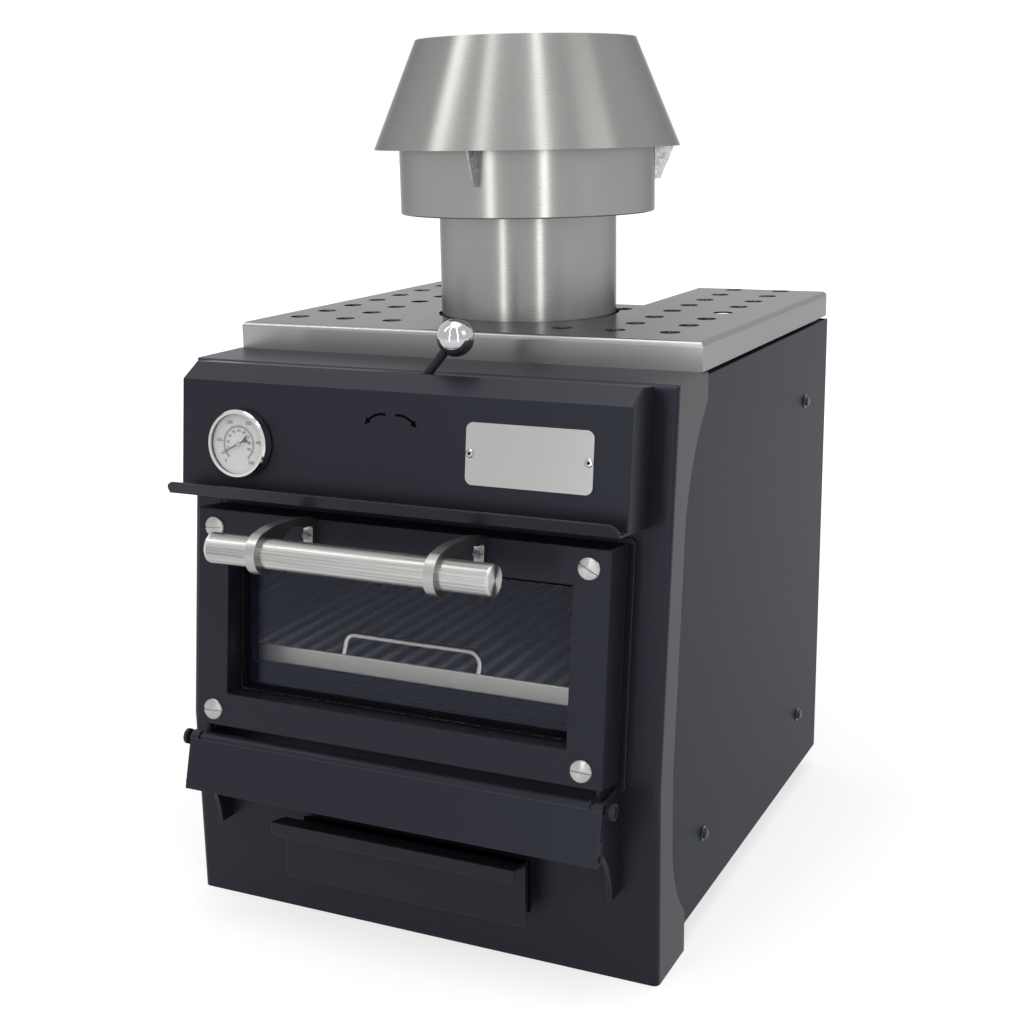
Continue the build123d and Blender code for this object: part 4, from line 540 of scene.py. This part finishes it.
def grill_bars(low, high, inner_front, inner_rear):
    """Front, rear and side bars of the grill."""
    points, faces = [], []
    whole = rectangle(low.x, high.x, low.z, high.z)
    add_prism(points, faces, whole, low.y, inner_front)
    add_prism(points, faces, whole, inner_rear, high.y)
    for left in (low.x, high.x - BAR_THICKNESS):
        add_prism(points, faces, rectangle(left, left + BAR_THICKNESS, low.z, high.z),
                  inner_front, inner_rear)
    bars = mesh_object("grill_frame", points, faces, GRILL_BAR, "cabinet")
    rounding = bars.modifiers.new("rounded_edges", "BEVEL")
    rounding.width = BAR_ROUNDING
    rounding.segments = 3
    rounding.limit_method = "ANGLE"


def grill_rods(inner_front, inner_rear):
    """V-shaped rods between the front and the rear bar, open side up."""
    points, faces = [], []
    top, half = RODS_TOP, ROD_WIDTH / 2
    for index in range(ROD_COUNT):
        x = (index - (ROD_COUNT - 1) / 2) * ROD_PITCH
        section = [(x - half, top), (x, top - ROD_DEPTH), (x + half, top),
                   (x + half - ROD_WALL, top), (x, top - ROD_DEPTH + ROD_WALL),
                   (x - half + ROD_WALL, top)]
        add_prism(points, faces, section, inner_front, inner_rear)
    rods = mesh_object("grill_rods", points, faces, ROD_SHADED_STEEL, "cabinet")
    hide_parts("cooking_grill")


def grill_grip():
    """Bent rod on the grill's front bar, leaning back, its right bend the wider one."""
    low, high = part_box("cooking_grill")
    left, right = GRIP_X
    route = [(left, 0.0)]
    for x, bend, inward, start in ((left, GRIP_BENDS[0], 1, 180), (right, GRIP_BENDS[1], -1, 90)):
        for step in range(GRIP_BEND_STEPS + 1):
            angle = math.radians(start - 90 * step / GRIP_BEND_STEPS)
            route.append((x + inward * bend + bend * math.cos(angle),
                          GRIP_RISE - bend + bend * math.sin(angle)))
    route.append((right, 0.0))
    curve = bpy.data.curves.new("grill_grip", "CURVE")
    curve.dimensions = "3D"
    curve.bevel_depth = GRIP_RADIUS
    curve.bevel_resolution = 5
    curve.use_fill_caps = True
    spline = curve.splines.new("POLY")
    spline.points.add(len(route) - 1)
    for point, (x, rise) in zip(spline.points, route):
        point.co = (x, low.y + BAR_THICKNESS / 2 + rise * math.sin(GRIP_LEAN),
                    high.z + rise * math.cos(GRIP_LEAN), 1)
    grip = bpy.data.objects.new("grill_grip", curve)
    scene.collection.objects.link(grip)
    grip.data.materials.append(GRIP_STEEL)
    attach(grip, "cabinet")
    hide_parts("grill_handle")


grill_low, grill_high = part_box("cooking_grill")
rods_from, rods_to = grill_low.y + BAR_THICKNESS, grill_high.y - BAR_THICKNESS
grill_bars(grill_low, grill_high, rods_from, rods_to)
grill_rods(rods_from, rods_to)
grill_grip()


# Dial print: two plain scales, numbers only
SCALE_START = 230.0
SCALE_END = -50.0
BAND_RADIUS = 0.0180
BAND_WIDTH = 0.0022
TICK_END = 0.0224
TICK_WIDTH = 0.0005
SMALL_TICKS = (0.0202, 0.0214)
SMALL_TICK_WIDTH = 0.0003
OUTER_NUMBERS = 0.0262
OUTER_HEIGHT = 0.0052
INNER_NUMBERS = 0.0146
INNER_HEIGHT = 0.0046
BAND_THICKNESS = 0.00004
INK_THICKNESS = 0.00006
NUMBER_RELIEF = 0.00004
NUMBER_BOLDNESS = 0.00010
POINTER_ANGLE = math.radians(208.5)
POINTER_OUT = DIAL_OUT + 0.0008
POINTER_THICKNESS = 0.0006
HUB_RADIUS = 0.0027
HUB_THICKNESS = 0.0005


def dial_ring(radius, width, start, end, steps=72):
    """Arc-shaped strip as quads round the dial's centre; angles from +X in degrees."""
    strips = []
    for index in range(steps):
        a, b = (math.radians(start + (end - start) * (index + k) / steps) for k in (0, 1))
        strips.append([tuple(DIAL_CENTRE + Vector((math.cos(t), math.sin(t))) * r)
                       for r, t in ((radius, b), (radius, a), (radius + width, a),
                                    (radius + width, b))])
    return strips


def dial_ticks(inner, outer, width, start, end, count):
    """Radial ticks round the dial."""
    strokes = []
    for index in range(count):
        angle = math.radians(start + (end - start) * index / (count - 1))
        radial = Vector((math.cos(angle), math.sin(angle)))
        side = Vector((-radial.y, radial.x)) * width / 2
        near, far = DIAL_CENTRE + radial * inner, DIAL_CENTRE + radial * outer
        strokes.append([tuple(p) for p in (near + side, near - side, far - side, far + side)])
    return strokes


def dial_number(value, radius, angle, height):
    """One upright number on the dial."""
    curve = bpy.data.curves.new(f"dial_number_{value}", "FONT")
    curve.body = str(value)
    curve.size = height
    curve.align_x = "CENTER"
    curve.align_y = "CENTER"
    curve.extrude = NUMBER_RELIEF
    curve.offset = NUMBER_BOLDNESS
    piece = bpy.data.objects.new(f"dial_number_{value}", curve)
    scene.collection.objects.link(piece)
    centre = DIAL_CENTRE + Vector((math.cos(angle), math.sin(angle))) * radius
    place = LEAN_AXES.copy()
    place.translation = on_lean(centre.x, centre.y, DIAL_OUT + INK_THICKNESS)
    piece.matrix_world = place
    piece.data.materials.append(DIAL_INK)
    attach(piece, "cabinet")


def dial_print():
    """Grey band with its ticks, hundreds outside it and tens inside it."""
    band = dial_ring(BAND_RADIUS, BAND_WIDTH, SCALE_START, SCALE_END)
    flat_strokes("dial_band", band, DIAL_OUT, BAND_THICKNESS, DIAL_BAND, "cabinet")
    marks = dial_ticks(BAND_RADIUS, TICK_END, TICK_WIDTH, SCALE_START, SCALE_END, 11)
    marks += dial_ticks(*SMALL_TICKS, SMALL_TICK_WIDTH, SCALE_START, SCALE_END, 51)
    flat_strokes("dial_scales", marks, DIAL_OUT, INK_THICKNESS, DIAL_INK, "cabinet")
    for index in range(6):
        angle = math.radians(SCALE_START + (SCALE_END - SCALE_START) * index / 5)
        dial_number(index * 100, OUTER_NUMBERS, angle, OUTER_HEIGHT)
    for index in range(1, 10):
        angle = math.radians(SCALE_START + (SCALE_END - SCALE_START) * index / 10)
        dial_number(index * 10, INNER_NUMBERS, angle, INNER_HEIGHT)


def dial_pointer():
    """Slim pointer with an arrow-shaped tail, and its pale hub."""
    ahead = Vector((math.cos(POINTER_ANGLE), math.sin(POINTER_ANGLE)))
    side = Vector((-ahead.y, ahead.x))

    def outline(corners):
        """Corners given ahead and to the side of the dial's centre."""
        return [tuple(DIAL_CENTRE + ahead * a + side * b) for a, b in corners]

    blade = outline([(0.0, 0.0007), (-0.0075, 0.0007), (-0.0075, -0.0007), (0.0, -0.0007),
                     (0.0255, -0.00035), (0.0255, 0.00035)])
    tail = outline([(-0.0062, 0.0009), (-0.0135, 0.0042), (-0.0118, 0.0), (-0.0135, -0.0042),
                    (-0.0062, -0.0009)])
    pointer = flat_strokes("dial_pointer", [blade, tail], POINTER_OUT, POINTER_THICKNESS,
                           POINTER_INK, "needle")
    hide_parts("thermometer_needle")
    hub = [tuple(DIAL_CENTRE + Vector((math.cos(t), math.sin(t))) * HUB_RADIUS)
           for t in (2 * math.pi * i / 24 for i in range(24))]
    flat_strokes("pointer_hub", [hub], POINTER_OUT + POINTER_THICKNESS, HUB_THICKNESS,
                 MATERIALS["polished_steel"], "needle")


dial_print()
dial_pointer()


# Turned fasteners: the door's slotted screws, the plate's socket screws, the side's bolts
SCREW_X = 0.229
SCREW_ALONG = (0.025, 0.23704)
DOOR_FRONT = 0.0527
SCREW_RADIUS = 0.0122
SCREW_HEIGHTS = (0.0016, 0.0028, 0.0030, 0.0040)    # wall, shoulder, foot and top of the dome
SCREW_STEPS = (0.0009, 0.0012)                      # shoulder and dome in from the wall
TURNED_RINGS = 10
RING_RIPPLE = 0.00010
SLOT_TURNS = {(-1, 1): 4, (1, 1): -27, (-1, 0): 3, (1, 0): -2}     # degrees; (side, row)
SLOT_HALF = 0.0011
SLOT_DEPTH = 0.0013
SLOT_FLOOR = 0.7            # width of the slot's floor, in the slot's width
PLATE_SCREW_RADIUS = 0.0045
PLATE_SCREW_SHIFT = 0.6     # its centre in from the end of the CAD's box, in its radius
SOCKET_RADIUS = 0.0017
SOCKET_FLOOR = 0.0003
SOCKET_SHADE_THICKNESS = 0.0002
BOLT_RADIUS = 0.0088
CAD_BOLT_RADIUS = 0.007
SHARP_ANGLE = math.radians(35)      # edges that turn by more stay sharp


def lathed(name, place, profile, material, body, sides=40):
    """Piece turned round its own Z axis from a profile of (radius, height), centre last."""
    shape = bmesh.new()
    rings = []
    for radius, height in profile[:-1]:
        rings.append([shape.verts.new((radius * math.cos(2 * math.pi * i / sides),
                                       radius * math.sin(2 * math.pi * i / sides), height))
                      for i in range(sides)])
    for lower, upper in zip(rings, rings[1:]):
        for i in range(sides):
            shape.faces.new((lower[i], lower[(i + 1) % sides], upper[(i + 1) % sides], upper[i]))
    centre = shape.verts.new((0, 0, profile[-1][1]))
    for i in range(sides):
        shape.faces.new((rings[-1][i], rings[-1][(i + 1) % sides], centre))
    shape.faces.new(reversed(rings[0]))
    mesh = bpy.data.meshes.new(name)
    shape.to_mesh(mesh)
    shape.free()
    mesh.polygons.foreach_set("use_smooth", [True] * len(mesh.polygons))
    mesh.set_sharp_from_angle(angle=SHARP_ANGLE)
    piece = bpy.data.objects.new(name, mesh)
    scene.collection.objects.link(piece)
    piece.matrix_world = place
    piece.data.materials.append(material)
    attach(piece, body)
    return piece


def cut_slot(piece, turn):
    """Slot across a screw's head, at an angle in degrees."""
    across = Vector((-math.sin(math.radians(turn)), math.cos(math.radians(turn)), 0))
    shape = bmesh.new()
    shape.from_mesh(piece.data)
    floor_half = SLOT_HALF * SLOT_FLOOR
    just_past_floor = floor_half + SLOT_HALF * 0.05
    for reach in (-SLOT_HALF, -floor_half, floor_half, SLOT_HALF):
        everything = list(shape.verts) + list(shape.edges) + list(shape.faces)
        bmesh.ops.bisect_plane(shape, geom=everything, plane_co=across * reach, plane_no=across)
    for vertex in shape.verts:
        on_head = vertex.co.z > SCREW_HEIGHTS[0] / 2
        if on_head and abs(vertex.co.dot(across)) < just_past_floor:
            vertex.co.z -= SLOT_DEPTH
    shape.to_mesh(piece.data)
    shape.free()
    piece.data.set_sharp_from_angle(angle=SHARP_ANGLE)


def door_screw_heads():
    """Four slotted heads with a low dome, on which the turning has left rings."""
    wall, shoulder, foot, top = SCREW_HEIGHTS
    profile = [(SCREW_RADIUS, 0.0), (SCREW_RADIUS, wall), (SCREW_RADIUS - SCREW_STEPS[0], shoulder)]
    for index in range(1, TURNED_RINGS):
        share = 1 - index / TURNED_RINGS
        ripple = RING_RIPPLE * (-1) ** index
        profile.append(((SCREW_RADIUS - SCREW_STEPS[1]) * share,
                        foot + (top - foot) * (1 - share ** 2) + ripple))
    profile.append((0.0, top))
    pieces = []
    for (side, row), turn in SLOT_TURNS.items():
        place = LEAN_AXES.copy()
        place.translation = on_lean(side * SCREW_X, SCREW_ALONG[row], DOOR_FRONT)
        head = lathed(f"door_screw_{len(pieces) + 1}", place, profile, SCREW_STEEL, "door")
        cut_slot(head, turn)
        pieces.append(head)
    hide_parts("door_screws")


def plate_screw_heads():
    """Two pan heads with a socket, its floor painted black as shade, where the CAD has the plate's
    screws.
    """
    low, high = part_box("name_plate_screws")
    to_lean = LEAN_AXES.inverted()
    middle = to_lean @ ((low + high) / 2)
    plate_front = max((to_lean @ (nodes["name_plate"].matrix_world @ v.co)).z
                      for v in nodes["name_plate"].data.vertices)
    radius = PLATE_SCREW_RADIUS
    profile = [(radius, 0.0), (radius, 0.0007), (radius - 0.0009, 0.0016),
               (SOCKET_RADIUS + 0.0002, 0.0017), (SOCKET_RADIUS, SOCKET_FLOOR), (0.0, SOCKET_FLOOR)]
    shift = radius * PLATE_SCREW_SHIFT
    pieces = []
    for x in (low.x + shift, high.x - shift):
        place = LEAN_AXES.copy()
        place.translation = on_lean(x, middle.y, plate_front)
        pieces.append(lathed(f"plate_screw_{len(pieces) + 1}", place, profile,
                             MATERIALS["polished_steel"], "cabinet",
                             24))
        # Black hexagon on the socket's floor: painted shade
        corners = [math.radians(turn) for turn in range(0, 360, 60)]
        socket = [(x + SOCKET_RADIUS * math.cos(a), middle.y + SOCKET_RADIUS * math.sin(a))
                  for a in corners]
        flat_strokes(f"plate_screw_socket_shade_{len(pieces)}", [socket], plate_front + SOCKET_FLOOR,
                     SOCKET_SHADE_THICKNESS, SHADE_BLACK, "cabinet")
    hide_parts("name_plate_screws")


def side_bolt_heads():
    """Flanged dome heads: four in the side panels, and the plug's, which is alike."""
    flange = [(BOLT_RADIUS, 0.0), (BOLT_RADIUS, 0.0010), (BOLT_RADIUS - 0.0012, 0.0016)]
    dome = [(0.0062, 0.0018), (0.0058, 0.0042), (0.0046, 0.0054), (0.0024, 0.0060), (0.0, 0.0061)]
    profile = flange + dome
    low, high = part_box("panel_bolts")
    inset = CAD_BOLT_RADIUS
    spots = [("panel_bolts", side, low.y + inset, high.z - inset) for side in (1, -1)]
    spots += [("panel_bolts", side, high.y - inset, low.z + inset) for side in (1, -1)]
    plug_low, plug_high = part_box("grease_plug")
    plug = (plug_low + plug_high) / 2
    spots.append(("grease_plug", 1, plug.y, plug.z))
    done = set()
    for index, (node, side, y, z) in enumerate(spots):
        place = Matrix(((0, 0, side), (side, 0, 0), (0, 1, 0))).to_4x4()
        place.translation = Vector((side * SIDE_X, y, z))
        head = lathed(f"side_bolt_{index + 1}", place, profile, BOLT_BLACK, "cabinet")
        if node not in done:
            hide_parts(node)
            done.add(node)


door_screw_heads()
plate_screw_heads()
side_bolt_heads()


# Panel marks: two curved arrows that show which way the lever turns
def curved_arrow(start, top, end, width=0.0026, steps=14):
    """Arrow along a curve through three points, ending in a small head. The line stops
    inside the head."""
    start, top, end = (Vector(p) for p in (start, top, end))
    control = top * 2 - (start + end) / 2
    line_end, head_start = 0.9, 0.84
    strokes = []

    def at(t):
        """Point and direction at a share of the way."""
        point = start * (1 - t) ** 2 + control * 2 * t * (1 - t) + end * t * t
        ahead = (control - start) * (1 - t) + (end - control) * t
        return point, ahead.normalized()

    for index in range(steps):
        a, ahead_a = at(index / steps * line_end)
        b, ahead_b = at((index + 1) / steps * line_end)
        side_a = Vector((-ahead_a.y, ahead_a.x)) * width / 2
        side_b = Vector((-ahead_b.y, ahead_b.x)) * width / 2
        strokes.append([tuple(p) for p in (a + side_a, a - side_a, b - side_b, b + side_b)])
    neck, ahead = at(head_start)
    wing = Vector((-ahead.y, ahead.x)) * width * 1.5
    strokes.append([tuple(p) for p in (neck - wing, end + ahead * width, neck + wing)])
    return strokes


def panel_marks():
    """The two arrows under the lever's slot, as one piece; they are cut through the panel, and
    their black paints the shade inside the cuts.
    """
    left = curved_arrow((-0.008, 0.378), (-0.021, 0.3765), (-0.0317, 0.368))
    right = curved_arrow((0.0038, 0.378), (0.0165, 0.3765), (0.0278, 0.368))
    flat_strokes("lever_arrows", left + right, PANEL_OUT - ARROW_SINK, ARROW_THICKNESS, SHADE_BLACK,
                 "cabinet")


panel_marks()


# Studio: pale floor, soft boxes and a plain surround
SURROUND_LEVEL = 0.45
LIGHT_RIG = {
    # name: (azimuth, elevation, distance, (width, height), radiance); azimuth 0 is in front
    "front_strip": (-8, 8, 3.0, (0.26, 3.0), 5.4),
    "front_strip_high": (-16, 57, 3.0, (0.3, 2.4), 2.5),
    "right_strip": (40, 8, 3.0, (0.26, 3.0), 6.2),
    "right_strip_high": (39, 57, 3.0, (0.3, 2.4), 3.2),
    "left_high": (-54, 46, 3.0, (0.5, 1.5), 4.3),
    "side_box": (84, 30, 3.0, (1.2, 1.2), 1.25),
    "overhead": (0, 89, 2.6, (2.0, 2.0), 2.5),
}
LIGHT_TARGET = Vector((0, 0, 0.65))
FLOOR_REACH = 30.0
GLOW_NEAR = 0.66                        # floor's own white beside the oven; 1 further off
GLOW_RISE = (0.7, 2.6)                  # distances between which it rises


def background_seen(tree):
    """1 where the background is looked at, straight or through metal and glass."""
    path = tree.nodes.new("ShaderNodeLightPath")
    seen = path.outputs["Is Camera Ray"]
    for kind in ("Is Glossy Ray", "Is Transmission Ray"):
        either = tree.nodes.new("ShaderNodeMath")
        either.operation = "MAXIMUM"
        tree.links.new(seen, either.inputs[0])
        tree.links.new(path.outputs[kind], either.inputs[1])
        seen = either.outputs["Value"]
    return seen


def studio_floor():
    """Pale floor, white to the eye except for the oven's soft shadow."""
    reach = FLOOR_REACH
    mesh = bpy.data.meshes.new("floor")
    mesh.from_pydata([(-reach, -reach, 0), (reach, -reach, 0), (reach, reach, 0),
                      (-reach, reach, 0)], [], [(0, 1, 2, 3)])
    floor = bpy.data.objects.new("floor", mesh)
    scene.collection.objects.link(floor)
    material = bpy.data.materials.new("floor_paint")
    material.use_nodes = True
    tree = material.node_tree
    tree.nodes.remove(tree.nodes["Principled BSDF"])
    grey = tree.nodes.new("ShaderNodeBsdfDiffuse")
    grey.inputs["Color"].default_value = (0.45, 0.45, 0.45, 1)
    glow = tree.nodes.new("ShaderNodeEmission")
    away = tree.nodes.new("ShaderNodeVectorMath")
    away.operation = "LENGTH"
    tree.links.new(texture_point(tree), away.inputs[0])
    tree.links.new(spread(tree, away.outputs["Value"], GLOW_NEAR, 1.0, *GLOW_RISE),
                   glow.inputs["Strength"])
    shade = tree.nodes.new("ShaderNodeBsdfDiffuse")
    shade.inputs["Color"].default_value = (0.5, 0.5, 0.5, 1)
    lit = tree.nodes.new("ShaderNodeAddShader")
    mix = tree.nodes.new("ShaderNodeMixShader")
    tree.links.new(glow.outputs["Emission"], lit.inputs[0])
    tree.links.new(shade.outputs["BSDF"], lit.inputs[1])
    tree.links.new(background_seen(tree), mix.inputs["Fac"])
    tree.links.new(grey.outputs["BSDF"], mix.inputs[1])
    tree.links.new(lit.outputs["Shader"], mix.inputs[2])
    tree.links.new(mix.outputs["Shader"], tree.nodes["Material Output"].inputs["Surface"])
    floor.data.materials.append(material)


def soft_box(name, azimuth, elevation, distance, size, radiance):
    """Area light round the oven, facing it, of a given radiance."""
    light = bpy.data.lights.new(name, "AREA")
    light.shape = "RECTANGLE"
    light.size, light.size_y = size
    light.energy = radiance * math.pi * size[0] * size[1]
    holder = bpy.data.objects.new(name, light)
    scene.collection.objects.link(holder)
    turn, rise = math.radians(azimuth), math.radians(elevation)
    away = Vector((math.sin(turn) * math.cos(rise), -math.cos(turn) * math.cos(rise),
                   math.sin(rise)))
    holder.location = LIGHT_TARGET + away * distance
    holder.rotation_euler = (-away).to_track_quat("-Z", "Y").to_euler()


def surround():
    """White where it is looked at, an even soft light on everything else."""
    world = bpy.data.worlds.new("surround")
    scene.world = world
    world.use_nodes = True
    tree = world.node_tree
    room = tree.nodes["Background"]
    room.inputs["Color"].default_value = (0.97, 0.98, 1.0, 1)
    room.inputs["Strength"].default_value = SURROUND_LEVEL
    white = tree.nodes.new("ShaderNodeBackground")
    white.inputs["Color"].default_value = (1, 1, 1, 1)
    mix = tree.nodes.new("ShaderNodeMixShader")
    tree.links.new(background_seen(tree), mix.inputs["Fac"])
    tree.links.new(room.outputs["Background"], mix.inputs[1])
    tree.links.new(white.outputs["Background"], mix.inputs[2])
    tree.links.new(mix.outputs["Shader"], tree.nodes["World Output"].inputs["Surface"])


studio_floor()
surround()
for light_name, light_values in LIGHT_RIG.items():
    soft_box(light_name, *light_values)


# Camera fitted to the photograph
CAMERA_PLACE = Vector((0.813573, FASCIA_Y - 1.432768, 0.909381))
CAMERA_YAW = math.radians(25.4437)
CAMERA_PITCH = math.radians(13.9997)
CAMERA_ROLL = math.radians(-0.9807)
FOCAL_PIXELS = 1567.432
PHOTO_PIXELS = 1024
SENSOR = 36.0


def photo_camera():
    """Camera at the photographer's place, turned, tipped and rolled as theirs was."""
    data = bpy.data.cameras.new("photo_camera")
    data.sensor_width = SENSOR
    data.lens = FOCAL_PIXELS / PHOTO_PIXELS * SENSOR
    ahead = Vector((-math.sin(CAMERA_YAW) * math.cos(CAMERA_PITCH),
                    math.cos(CAMERA_YAW) * math.cos(CAMERA_PITCH), -math.sin(CAMERA_PITCH)))
    right = ahead.cross(Vector((0, 0, 1))).normalized()
    up = right.cross(ahead)
    cos_roll, sin_roll = math.cos(CAMERA_ROLL), math.sin(CAMERA_ROLL)
    right, up = cos_roll * right + sin_roll * up, -sin_roll * right + cos_roll * up
    camera = bpy.data.objects.new("photo_camera", data)
    scene.collection.objects.link(camera)
    place = Matrix((right, up, -ahead)).transposed().to_4x4()
    place.translation = CAMERA_PLACE
    camera.matrix_world = place
    scene.camera = camera


photo_camera()
scene.view_settings.view_transform = "Standard"
